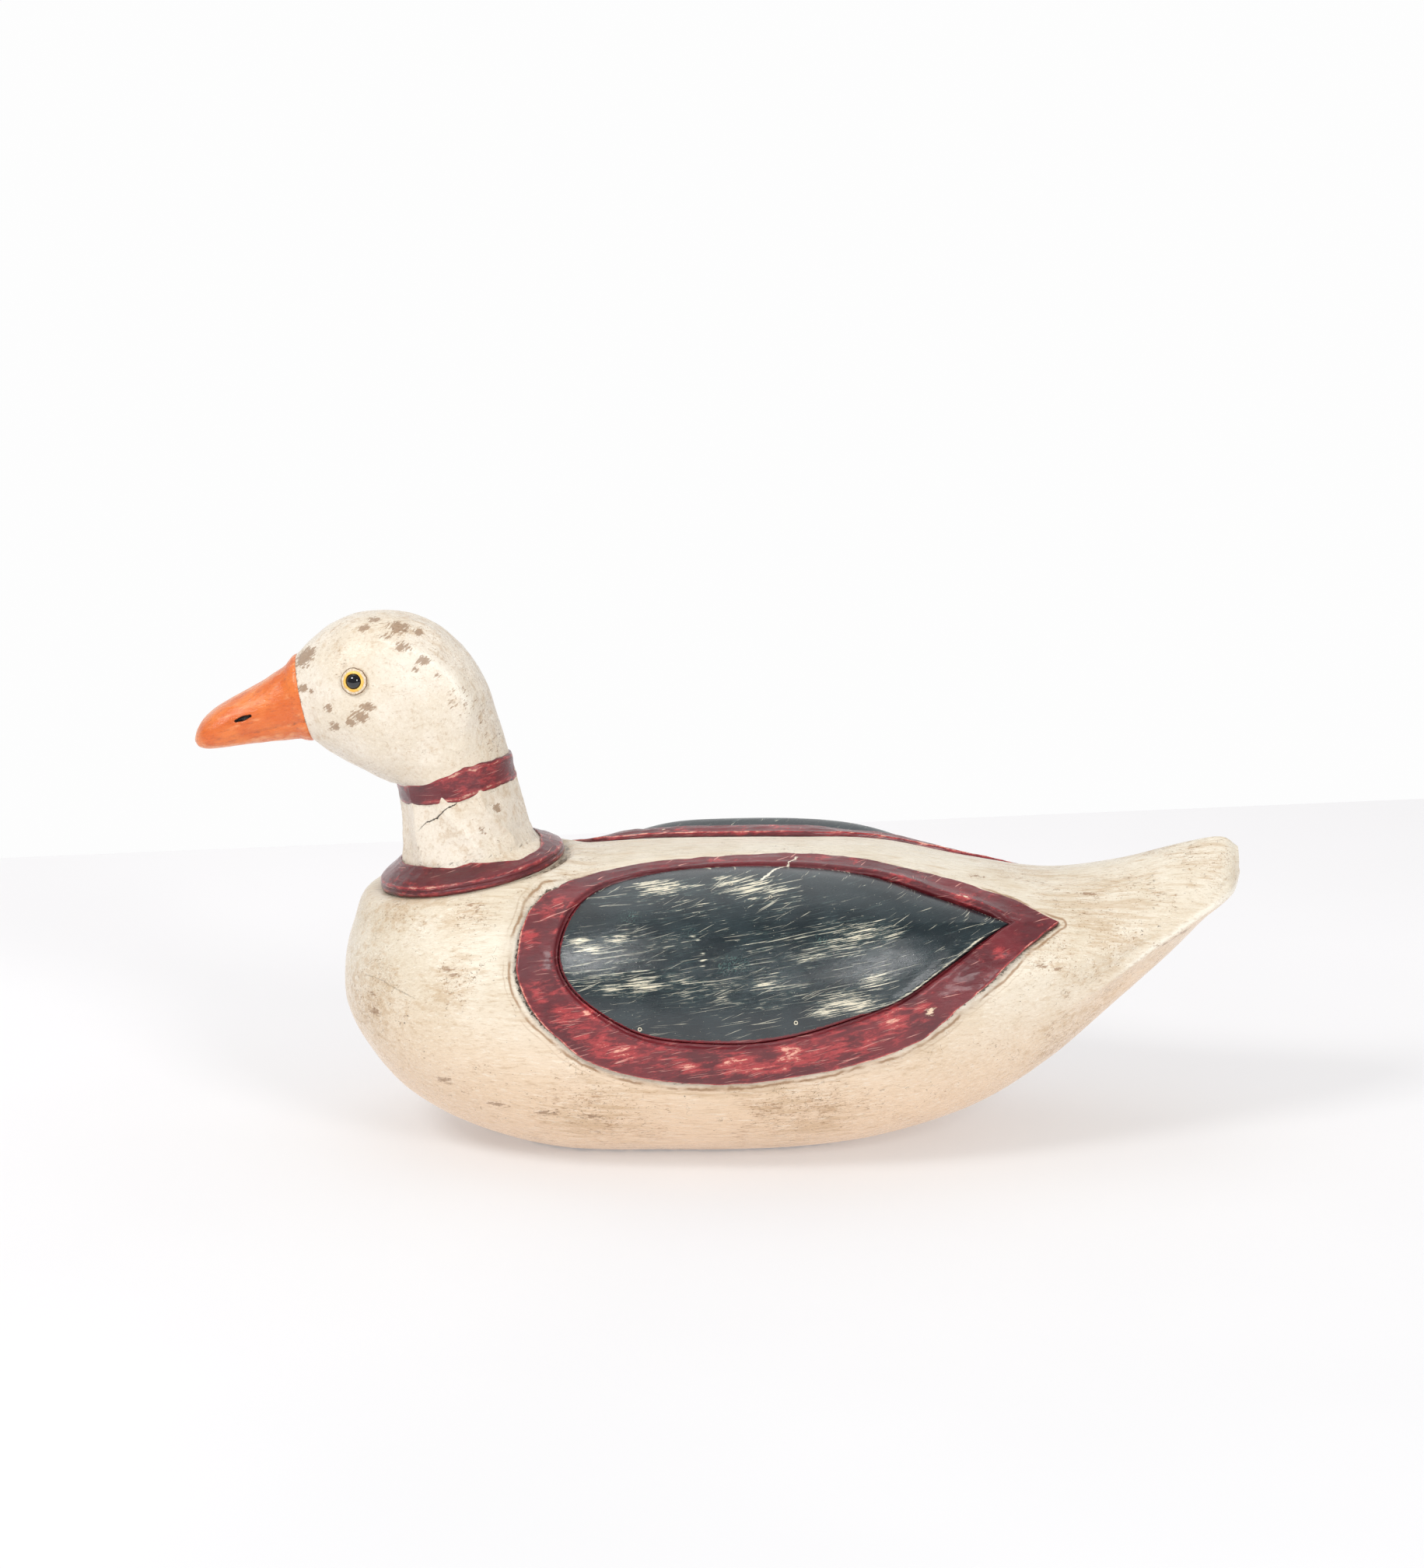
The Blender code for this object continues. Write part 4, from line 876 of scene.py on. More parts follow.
def make_rim(side, label, red):
    """The carved red rim of a wing board: scuffed outer edge, broad face, crest over a valley, painted
    highlights and shade.
    """
    # From the outer edge to the panel: share of the way, height over the body.
    profile = (
        (0, -3), (0, -0.9), (0, 0.2), (0.01, 1), (0.032, 1.5), (0.07, 1.72), (0.14, 1.7), (0.26, 1.68),
        (0.42, 1.72), (0.56, 1.75), (0.7, 1.9), (0.8, 2.15), (0.87, 2.2), (0.915, 1.95), (0.94, 1.45),
        (0.96, 1.05), (0.985, 0.85), (1, 0.3), (1, -3))
    fine = fine_rows(profile, 64)
    upper_rear = between(AROUND_WING, 0.01, 0.04, 0.14, 0.19)
    top = between(AROUND_WING, 0.17, 0.21, 0.34, 0.38)
    lower_rear = between(AROUND_WING, 0.80, 0.85, 0.95, 0.99)
    across = np.clip(fine[:, :1], 0, 1) * np.ones(WING_POINTS)
    flats = np.array([wing_flat(share, 0) for share in across[:, 0]])
    proud = fine[:, 1:2] * np.ones(WING_POINTS)
    skin = rise(proud, -0.4, 0.8)
    if side > 0:
        proud = proud + 1.9 * top * skin * rise(across, 0.1, 0.8)
    proud = proud + skin * (0.8 * upper_rear - 0.45 * top - 0.5 * lower_rear) * rise(across, 0.4, 0.85)
    grid = on_body(flats, proud, side)
    normal = on_body(flats, proud + 1, side) - grid
    carve = 0.22 * lumps(grid, (9, 4, 4), 2 + side) + 0.14 * lumps(grid, (3, 1.4, 1.4), 5)
    grid = grid + normal * (carve * skin)[..., None]
    # The outer edge wavers where the knife slipped, with a notch under a lifted flap at the front.
    waver = 0.45 * lumps(grid[8] * np.ones(grid.shape), 6, 11) * rise(across, 0.5, 0.0)
    if side < 0:
        flap = np.hypot(flats[0][:, 0] + 59.2, (flats[0][:, 1] - 63.2) * 1.1)
        waver = waver - 1.5 * bump(flap, 0, 1.7) * rise(across, 0.12, 0.0)
    grid = grid + from_middle(grid) * waver[..., None]
    rubs = board_spots(grid, RIM_RUBS, side, (1.3, 1, 1))
    bottom = between(AROUND_WING, 0.56, 0.62, 0.80, 0.88)
    wear_and_highlight = (-0.05 + 0.95 * bottom) * bump(across, 0.5, 0.3) * (0.7 + 0.5 * lumps(grid, 25, 7)) + 0.85 * rubs
    # Bright lines along the outer edge and the inner crest: painted highlights together with scuffing.
    wear_and_highlight = wear_and_highlight + 1.0 * bump(across, 0.035, 0.025) + 0.35 * bump(across, 0.86, 0.04) * (1 - top)
    # Painted shade in the valley by the panel and at the foot of the outer wall.
    grime_and_shade = 0.30 * rise(across, 0.95, 0.985) + 0.9 * rise(proud, 0.5, 0.0) * (across < 0.5)
    fields = {
        "wear_and_highlight": wear_and_highlight, "grime_and_shade": np.clip(grime_and_shade, 0, 1), "chip": board_spots(grid, RIM_CHIPS, side),
        **board_crack(flats, side)}
    return grid_piece("rim_" + label, grid, red, fields, ends="loop")


# From the panel's edge inward: share of the way to its middle, height over the body.
PANEL_PROFILE = (
    (0, -3), (0, -1), (0, 0.4), (0.006, 0.95), (0.02, 1.3), (0.045, 1.75), (0.08, 2.25), (0.13, 2.95),
    (0.2, 3.75), (0.3, 4.6), (0.42, 5.25), (0.55, 5.6), (0.7, 5.75), (0.85, 5.8), (0.985, 5.8))
PANEL_RUBS = (
    (-17.9, 55.5, 4.5), (-23.8, 57.5, 3), (10.9, 55.5, 5), (14.8, 53.5, 4), (5, 58, 3), (-33, 35.5, 2.6),
    (-44.2, 33.5, 2.2), (-24.5, 20, 3), (-12.7, 21, 2.6), (-36.3, 19, 2.2), (49.6, 35.5, 4.5),
    (43, 31.5, 3.6), (17.4, 19.5, 2.8), (44.3, 12, 3.6), (49.6, 9.5, 3), (34.5, 29.5, 2.8),
    (29.2, 27, 2.4), (11.5, 24.5, 2.2), (18.8, 21, 2.4), (54.2, 18.5, 2.6), (37.8, 8.5, 2.2),
    (-6.2, 35, 2), (2.4, 38, 2), (-48.8, 36.5, 2),
)
TAN_MARKS = ((12.6, 54.2, 2.8), (16.0, 53.0, 1.8))
BROWN_MARKS = ((-4.2, 22.5, 2.6), (-5.5, 20.0, 1.8))
# Broad bands that are lightly scratched: from and to (x, angle), half width in degrees, amount.
SCRATCHED = ((-50, 22, 52, 14, 7, 0.36), (-48, 34, 48, 34, 9, 0.24), (-38, 52, 34, 50, 8, 0.32))
CURVED_SCRATCH = ((-8.8, 36.0), (-6.2, 34.0), (-4.9, 30.0), (-4.8, 25.5))
TEAL_MARKS = ((5.0, 26.0, 3.6), (-9, 37, 2.4), (36, 33, 2.8), (-30, 44, 2.6))


def panel_points(side):
    """The panel's grid, with its places (x, angle) and its fine profile."""
    fine = fine_rows(PANEL_PROFILE, 90)
    lower_rear = between(AROUND_WING, 0.80, 0.85, 0.94, 0.99)
    upper_rear = between(AROUND_WING, 0.01, 0.04, 0.14, 0.19)
    rows, flats = [], []
    for inward, height in fine:
        inward = min(max(inward, 0.0), 1.0)
        flat = wing_flat(1.0, inward)
        lift = 1.1 * lower_rear * bump(inward, 0.02, 0.05) - 0.75 * upper_rear * bump(inward, 0.0, 0.06)
        if side > 0:
            crest = rise(flat[:, 1], 40, 62) * rise(flat[:, 0], -48, -12)
            lift = lift + 2.8 * crest * rise(inward, 0, 0.25)
        proud = height + lift * (height > 0)
        rows.append(on_body(flat, proud, side))
        flats.append(flat)
    return np.array(rows), np.array(flats), fine


def make_panel(side, label, dark):
    """The dark domed panel of a wing board."""
    grid, flats, fine = panel_points(side)
    shape = grid.shape[:2]
    normal = on_body(flats, np.ones(shape), side) - on_body(flats, np.zeros(shape), side)
    carve = 0.30 * lumps(grid, (30, 14, 14), 3 + side) + 0.06 * lumps(grid, (9, 3, 3), 6)
    inward = np.clip(fine[:, :1], 0, 1) * np.ones(shape)
    top = rise(fine[:, 1:2] * np.ones(shape), 0.0, 0.8)
    # A hair of clearance keeps the panel's wall off the rim's.
    shrink = from_middle(grid) * (0.25 * rise(inward, 0.02, 0.0))[..., None]
    grid = grid + normal * (carve * top)[..., None] - shrink
    deep = inward * np.linalg.norm(grid - grid[-1], axis=-1)[3]
    below = between(AROUND_WING, 0.58, 0.64, 0.80, 0.84)
    front = between(AROUND_WING, 0.39, 0.42, 0.58, 0.64)
    bevel = between(AROUND_WING, 0.83, 0.86, 0.94, 0.97)
    red = np.clip(-2.5 + 4.0 * below + 3.6 * front - deep, -4, 3)
    wear_and_highlight = board_spots(grid, PANEL_RUBS, side, (2.2, 1, 0.9))
    edge_rub = 0.55 * (1 - below) * (1 - front) + 0.4 * bevel
    wear_and_highlight = np.maximum(wear_and_highlight, edge_rub * bump(deep, 1.1, 0.7))
    for x0, angle0, x1, angle1, wide, amount in SCRATCHED:
        share = np.clip((flats[..., 0] - x0) / (x1 - x0), -0.2, 1.2)
        band = bump(flats[..., 1], angle0 + (angle1 - angle0) * share, wide)
        band = band * between(share, -0.15, 0.1, 0.85, 1.15)
        wear_and_highlight = np.maximum(wear_and_highlight, amount * band * (0.8 + 0.5 * lumps(grid, (14, 8, 8), 15)))
    if side < 0:
        curl, _, runs = crack_across(flats, CURVED_SCRATCH)
        wear_and_highlight = np.maximum(wear_and_highlight, bump(curl, 0, 0.35) * runs)
    marks = {"stain": TAN_MARKS, "mark": BROWN_MARKS, "teal": TEAL_MARKS}
    fields = {
        **{name: board_spots(grid, places, side) for name, places in marks.items()},
        # Painted shade at the panel's very edge, in the valley by the rim.
        "wear_and_highlight": wear_and_highlight, "red": red, "grime_and_shade": 0.5 * rise(deep, 0.3, 0.1), **board_crack(flats, side)}
    return grid_piece("panel_" + label, grid, dark, fields)


def neck_post_radius(height):
    """The post's radius at a height over the seat, with a skirt under the collar."""
    return np.interp(height, (-0.5, 2.6, 3.6, 5.6, 7.0, 8.2, 9.6, 15, 24, 30, 36),
                     (33.2, 33.0, 31.8, 29.2, 27.0, 25.3, 24.6, 23.2, 22.3, 21.9, 21.6))


def throat(turn, height):
    """How much slimmer the neck is at the throat, growing toward the ring."""
    return 1.6 * bump(np.abs(turn), 180, 62) * rise(height, 10, 30)


def facets(points, turn, height, amount, seed):
    """Knife facets round the neck: flats of uneven width that drift with height."""
    phase = turn / 360 * 9 + 0.35 * lumps(points, 16, seed) + 0.01 * height
    saw = np.abs((phase % 1) - 0.5) * 2
    return amount * (saw ** 2 - 0.33)


# The neck's long check as places (turn, height).
NECK_CRACK = ((-86, 30.7), (-97, 29.3), (-109, 26.2), (-122, 24.6), (-135, 20.9))


def make_neck_post(cream):
    """The neck between collar and ring, with knife facets and one long check."""
    heights = np.concatenate([np.linspace(-0.5, 9.6, 26), np.linspace(9.9, 35, 60)])
    turns = np.linspace(-180, 180, 240, endpoint=False)
    turn, height = np.meshgrid(turns, heights)
    grid = from_neck(turn, neck_post_radius(height), height)
    free = rise(height, 8.0, 13.0)
    carve = facets(grid, turn, height, 1.3, 21) + 0.15 * lumps(grid, 6, 22)
    radius = neck_post_radius(height) + free * carve - throat(turn, height)
    grid = from_neck(turn, radius, height)
    crack, where, runs = crack_across(np.stack([turn, height], axis=-1), NECK_CRACK, (0.39, 1), 0.01)
    stains = ((-48, 25.2, 1.7), (-68, 19.0, 1.3), (60, 20, 1.8))
    stain = spots(grid, [(*from_neck(at, neck_post_radius(up), up), size) for at, up, size in stains])
    # Painted shade just above the collar and just below the ring.
    grime_and_shade = 0.5 * bump(height, 9.4, 1.2) + 0.35 * bump(height, 31, 1.0)
    fields = {
        "low": 0.12, "grime_and_shade": grime_and_shade, "stain": stain, "darkening": 0.25, "painted_highlight": 0.0,
        "crack": crack, "crack_span": runs * rise(where, 1.0, 0.7)}
    return grid_piece("neck", grid, cream, fields)


def wavering_edges(edges, count, radius, height):
    """Turns round the neck, the two values of a table at each, and a ring there to take lumps from."""
    turns = np.linspace(-180, 180, count, endpoint=False)
    at, first, second = np.array(edges, float).T
    rim = from_neck(turns, radius, height)
    return turns, np.interp(turns, at, first), np.interp(turns, at, second), rim


RING_EDGES = (  # turn, height of the lower edge, height of the upper edge
    (-180, 30.9, 38.2), (-146, 31.2, 38.9), (-125, 31.4, 39.8), (-101, 31.3, 40.8), (-86, 30.7, 41.5),
    (-72, 31.4, 42.7), (-64, 32, 42.2), (-53, 32.3, 42.8), (-37, 32.4, 42.1), (-11, 31.4, 41.1),
    (20, 31, 40.6), (50, 31.6, 41.2), (75, 31, 40.4), (110, 31.5, 40.6), (145, 31, 39.2),
    (180, 30.9, 38.2),
)


def make_ring(red):
    """The red band between neck and head, with wavering edges."""
    turns, low, high, rim = wavering_edges(RING_EDGES, 360, 22.5, 35)
    low = low + 0.35 * lumps(rim, 4, 31) + 0.15 * lumps(rim, 1.6, 32)
    high = high + 0.35 * lumps(rim, 4, 33) + 0.15 * lumps(rim, 1.6, 34)
    # Radius, and share of the way from the lower edge to the upper one.
    profile = (
        (20, 0.06), (21.5, 0), (21.95, 0.02), (22.2, 0.07), (22.35, 0.2), (22.2, 0.5), (22.3, 0.8),
        (22.2, 0.93), (21.95, 0.98), (21.2, 1), (20, 0.94))
    fine = fine_rows(profile, 34)
    height = low + (high - low) * np.clip(fine[:, 1:2], 0, 1)
    turn = np.broadcast_to(turns, height.shape)
    grid = from_neck(turn, fine[:, :1], height)
    skin = rise(fine[:, :1], 21.5, 22.6)
    carve = facets(grid, turn, height, 0.45, 21) + 0.25 * lumps(grid, (7, 7, 2.2), 35)
    radius = fine[:, :1] + skin * carve - throat(turn, height)
    grid = from_neck(turn, radius, height)
    share = np.clip(fine[:, 1:2], 0, 1) * np.ones(turn.shape)
    # Bright lines along both edges: painted highlights together with scuffing.
    wear_and_highlight = 0.7 * bump(share, 0.12, 0.06) + 0.7 * bump(share, 0.9, 0.06) + 0.2
    wear_and_highlight = wear_and_highlight + 0.55 * lumps(grid, (9, 9, 4), 36)
    # Painted shade along both edges, where the band meets the wood.
    grime_and_shade = 0.55 * rise(share, 0.05, 0.0) + 0.55 * rise(share, 0.96, 1.0)
    return grid_piece("ring", grid, red, {"wear_and_highlight": wear_and_highlight, "grime_and_shade": grime_and_shade, **UNBROKEN}, ends="loop")


COLLAR_EDGES = (  # turn, radius and height of the paint's upper edge
    (-180, 24.9, 9.5), (-150, 25, 9.4), (-127, 25, 9.4), (-98, 26.3, 8.3), (-85, 25.4, 8.9),
    (-64, 27.6, 7.5), (-50, 29.6, 6.2), (-26, 29, 6.5), (-12, 27.4, 7.6), (15, 25.4, 8.8),
    (50, 26.2, 8.3), (80, 25.2, 9), (110, 26.4, 8.2), (140, 25.2, 9.2), (180, 24.9, 9.5),
)


def make_collar(red):
    """The carved collar: a sloping top, a ridge and a lower band, with a wavering painted edge."""
    turns, inner, top, rim = wavering_edges(COLLAR_EDGES, 400, 34, 2)
    inner = inner + 0.4 * lumps(rim, 4, 41)
    outer = 34.1 + 0.15 * lumps(rim, 5, 42)
    ridge = 0.55 + 0.25 * lumps(rim, 12, 43)
    rows = (
        (inner + 0.8, 0.2), (inner - 0.3, top - 2.2), (inner - 0.3, top - 0.6), (inner, top - 0.1),
        (inner + 0.5, top + 0.05), (inner * 0.6 + 13.2, top * 0.6 + 2.01),
        (inner * 0.25 + 24.75, top * 0.25 + 3.65), (32.8, 4.35 + ridge * 0.5), (33.6, 3.85 + ridge * 0.4),
        (outer - 0.15, 3.1), (outer - 0.35, 2.6), (outer, 2.1), (outer + 0.05, 1.3), (outer - 0.3, 0.5),
        (outer - 1, 0.2))
    table = [np.concatenate([0 * inner + radius, 0 * top + height]) for radius, height in rows]
    radius, height = fine_rows(table, 60).reshape(60, 2, -1).transpose(1, 0, 2)
    turn = np.broadcast_to(turns, radius.shape)
    grid = from_neck(turn, radius, height)
    across = np.linspace(0, 1, 60)[:, None] * np.ones(turn.shape)
    skin = between(across, 0.18, 0.3, 0.88, 0.97)
    height = height + skin * (0.2 * lumps(grid, (9, 9, 4), 44) + 0.12 * lumps(grid, 2.2, 45))
    radius = np.minimum(radius + skin * 0.15 * lumps(grid, (5, 5, 3), 46), 34.25)
    grid = from_neck(turn, radius, height)
    # Bright lines on the ridge and the edges: painted highlights together with scuffing.
    wear_and_highlight = 0.95 * bump(across, 0.57, 0.05) + 0.7 * bump(across, 0.27, 0.03) + 0.6 * bump(across, 0.84, 0.04)
    wear_and_highlight = wear_and_highlight + 0.3 * lumps(grid, (8, 8, 4), 47)
    # Painted shade where the collar meets the neck and the body, and in the crease under its ridge.
    grime_and_shade = 0.5 * rise(across, 0.26, 0.2) + 0.6 * rise(across, 0.88, 1.0) + 0.4 * bump(across, 0.70, 0.03)
    return grid_piece("collar", grid, red, {"wear_and_highlight": wear_and_highlight, "grime_and_shade": grime_and_shade, **UNBROKEN}, ends="loop")


# Smudges on the head: x, y, z and size.
HEAD_STAINS = (
    (-148.2, -9, 179.4, 4.2), (-146.5, -10.5, 181.5, 2.4), (-122.6, -9.4, 193.4, 1.8),
    (-126, -13, 190.8, 1.5), (-113.3, -12.6, 191.2, 2.8), (-117.5, -15.5, 187.8, 1.9),
    (-106.6, -12.2, 189.3, 1.5), (-112, -18.5, 185, 2), (-104.5, -20.5, 180.5, 1.7),
    (-107, -22, 177.5, 1.1), (-100, -19.8, 175.1, 1.1), (-148.3, -14.4, 169.2, 1.6),
    (-144.5, -16.2, 168.5, 1), (-138.5, -20.5, 163.5, 1.5), (-124.1, -24.8, 164.7, 1.8),
    (-127, -24.2, 161, 2.4), (-130.7, -23.2, 158.6, 1.5), (-136.5, -20.6, 156.5, 1.7),
    (-139, -19.5, 154.8, 1.2), (-131, 19.5, 184, 2.2), (-112, 16.5, 189, 2.4), (-104, 19, 181.5, 2),
    (-120, 24.6, 160, 2.2), (-132, 22, 157, 1.8), (-96, 22, 166, 2), (-90.5, 15, 176, 1.6),
)
# The carved ridge from crown to nape behind the left eye.
HEAD_RIDGE = ((-118, -16.5, 187.5), (-104, -19.5, 183.0), (-94, -19.5, 174.0), (-87.5, -18.5, 163.5))


def make_head(cream):
    """The head: soft knife facets, a ridge behind the eye and stained dashes over the crown."""
    grid, normal, row = section_grid(HEAD_SECTIONS, 240, 240)
    free = between(row, 1.6, 2.8, 9.4, 10.0)
    carve = 0.35 * lumps(grid, (20, 14, 16), 51) - 0.9 * np.abs(lumps(grid, (17, 13, 15), 53)) + 0.25
    carve = carve - 0.35 * np.abs(lumps(grid, (8, 7, 8), 52))
    for flip in (1, -1):
        away, _, _ = along_line(grid, np.array(HEAD_RIDGE) * (1, flip, 1))
        carve = carve + 1.5 * np.clip(1 - away / 8, 0, 1) * rise(grid[..., 2], 191, 181)
    eye = np.minimum(*(np.linalg.norm(grid - EYE_CENTRE * (1, flip, 1), axis=-1) for flip in (-1, 1)))
    carve = carve - 0.7 * bump(eye, 0, 6.5)
    grid = grid + normal * (carve * free)[..., None]
    stain = spots(grid, HEAD_STAINS, (1.35, 1.1, 0.9))
    patches = ((-91.3, -18, 165.8, 4.5), (-84.5, -12.2, 161, 4), (-80.1, -9.7, 149.8, 4.5))
    patch = 0.45 * np.clip(2 * spots(grid, patches), 0, 1)
    nape = rise(grid[..., 0], -100, -80) * rise(np.abs(grid[..., 1]), 20, 6)
    # Dirt at the nape and on its patches, a brown ring round each eye, and painted shade in the joint at the
    # bill's root.
    grime_and_shade = np.maximum(0.35 * nape + 0.2 * patch, 0.9 * bump(row, 10.0, 0.10)) + 0.3 * bump(eye, 5.0, 0.5)
    stain = np.maximum(stain, patch * 0.75)
    darkening = np.clip(0.75 * nape + 0.6 * rise(grid[..., 2], 176, 190) * rise(grid[..., 0], -95, -108), 0, 1)
    # Painted shade on the plane behind the carved ridge, and a painted highlight along the ridge itself.
    ridge = np.array(HEAD_RIDGE)[::-1]
    behind = grid[..., 0] - np.interp(grid[..., 2], ridge[:, 2], ridge[:, 0])
    upper = rise(grid[..., 2], 158, 166)
    darkening = np.maximum(darkening, 0.75 * rise(behind, 0.5, 3) * upper)
    painted_highlight = bump(behind, -0.8, 1.6) * upper * rise(grid[..., 2], 190, 186)
    fields = {"low": 0.08, "grime_and_shade": grime_and_shade, "stain": stain, "darkening": darkening, "painted_highlight": painted_highlight, **UNBROKEN}
    return grid_piece("head", grid, cream, fields)


# Ends of the left nostril and points along the left mouth line.
NOSTRIL = ((-173.0, 11.5, 156.6), (-168.0, 11.4, 158.4))
MOUTH = (
    (-147.5, 13.2, 156.6), (-154, 12, 154.8), (-160.9, 10.9, 153.1), (-170.4, 10.9, 150.8),
    (-180, 10.8, 149.2))


def make_bill(orange):
    """The bill: a lip at its root, the mouth line and two slit nostrils."""
    grid, normal, row = section_grid(BILL_SECTIONS, 260, 240)
    carve = (0.22 * lumps(grid, (12, 8, 8), 61) + 0.08 * lumps(grid, 3.5, 62)) * rise(row, 0.5, 1.5)
    carve = carve - 0.30 * between(row, 1.45, 1.75, 1.8, 2.6) + 0.2 * bump(row, 1.15, 0.25)
    carve = carve - 0.45 * np.abs(lumps(grid, (16, 9, 9), 63)) * between(row, 1.8, 2.6, 5.4, 6.4)
    hole, groove = 0 * row, 0 * row
    for flip in (-1, 1):
        away, where, _ = along_line(grid, np.array(NOSTRIL) * (1, flip, 1))
        wide = 0.45 + 0.50 * np.sin(math.pi * np.clip(where, 0.08, 0.92))
        hole = np.maximum(hole, np.clip(1 - 0.5 * away / wide, 0, 1))
        away, where, _ = along_line(grid, np.array(MOUTH) * (1, flip, 1))
        groove = np.maximum(groove, bump(away, 0, 0.8) * rise(where, 1.0, 0.55))
    carve = carve - 1.4 * rise(hole, 0.4, 0.75) - 0.45 * groove
    grid = grid + normal * carve[..., None]
    # Brown behind the lip, in the mouth line and at the root: dirt together with painted shade.
    grime_and_shade = 0.30 * bump(row, 1.70, 0.10) + 0.55 * groove + 0.5 * rise(row, 1.0, 0.6)
    # Painted highlights: pale along the top ridge and on the underside, chosen by which way the surface
    # faces; the tip is scuffed pale.
    culmen = bump(grid[..., 1], 0, 4.5) * (normal[..., 2] > 0)
    wear_and_highlight = 0.8 * culmen + 0.7 * rise(row, 6.2, 7.4) + 0.6 * rise(normal[..., 2], -0.4, -0.9)
    return grid_piece("bill_carved", grid, orange, {"grime_and_shade": grime_and_shade, "hole": hole, "wear_and_highlight": wear_and_highlight})


def turned_grid(profile, rings, steps, axis, origin, side, rough, seed):
    """A grid turned from a profile of (radius, height) round an axis, a little uneven."""
    spin = Vector(np.array(axis) * (1, side, 1)).to_track_quat("Z", "Y").to_matrix()
    radius, height = fine_rows(profile, rings).T[..., None]
    turns = np.linspace(0, 2 * math.pi, steps, endpoint=False)
    local = np.stack([radius * np.cos(turns), radius * np.sin(turns), height + 0 * turns], axis=-1)
    local = local + rough * np.stack([lumps(local, 1.1, seed + k) for k in range(3)], axis=-1)
    return local @ np.array(spin).T + origin


def make_eyes(putty, yellow, glass):
    """Each eye: cracked putty, a painted yellow ring and a glass bead."""
    for side, label in SIDES:
        pieces = (
            ("eye_putty_", putty, "putty", "loop", 0.16,
             ((3.5, -2), (3.5, 0.4), (3.75, 0.72), (4.2, 0.68), (4.6, 0.45), (4.95, 0.0), (5.0, -2))),
            ("eye_ring_", yellow, "eye_yellow", "loop", 0.10,
             ((2.8, -2), (2.8, 0.9), (2.95, 1.2), (3.25, 1.15), (3.55, 0.9), (3.75, 0.5), (3.75, -2))),
            ("eye_bead_", glass, "eye_glass", "cap", 0.0,
             ((0.02, 2.25), (0.8, 2.17), (1.5, 1.95), (2.15, 1.5), (2.65, 0.95), (2.9, 0.3), (2.95, -1.5),
              (0.5, -2))),
        )
        for name, material, slot_name, ends, rough, profile in pieces:
            grid = turned_grid(profile, 40, 96, EYE_AXIS, EYE_CENTRE * (1, side, 1), side, rough, 71)
            edge = bump(np.linspace(0, 6, 40), 4.35, 0.7)[:, None]
            thing = grid_piece("round_" + name + label, grid, material, {"wear_and_highlight": edge}, ends)
            place(thing, "head", name + label, slot_name)


def panel_lift(x, angle, side):
    """How far the panel stands over the body at a place."""
    grid, flats, fine = panel_points(side)
    top = fine[:, 1] > 0.5
    reach = np.abs(flats[top][..., 0] - x) + np.abs(flats[top][..., 1] - angle)
    nearest_point = grid[top].reshape(-1, 3)[np.argmin(reach)]
    return np.linalg.norm(nearest_point - on_body(np.array((x, angle)), 0.0, side))


def make_pins(nail):
    """The eight small nail heads that hold the panels, dished and rubbed."""
    for side, label in SIDES:
        for number, (x, angle) in enumerate(PIN_PLACES, start=1):
            lift = panel_lift(x, angle, side)
            origin = on_body(np.array((x, angle)), 0.0, side)
            profile = ((0.05, lift + 0.05), (0.3, lift + 0.06), (0.5, lift + 0.24), (0.66, lift + 0.26),
                       (0.8, lift + 0.1), (0.8, lift - 0.3), (0.7, lift - 0.5), (0.65, -6), (0.1, -10))
            grid = turned_grid(profile, 30, 28, body_normal(x, angle), origin, side, 0.04, 81 + number)
            wear_and_highlight = np.interp(np.linspace(0, 8, 30), (0, 1, 1.6, 3.4, 4.2, 8), (0, 0, 0.8, 0.8, 0, 0))
            name = "%s_%d" % (label, number)
            thing = grid_piece("nail_" + name, grid, nail, {"wear_and_highlight": wear_and_highlight[:, None]})
            place(thing, "root", "wing_pin_" + name, "brass")


def make_hardware(steel, lead, wood, brass):
    """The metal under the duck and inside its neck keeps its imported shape, with worn metal materials."""
    for material, nodes in (
            (steel, ("head_bolt", "head_nut", "head_washer", "ballast_screw_1", "ballast_screw_2")),
            (lead, ("ballast_weight",)), (wood, ("bore_plug",)), (brass, ("line_staple",))):
        for node in nodes:
            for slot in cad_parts[node].material_slots:
                slot.material = material


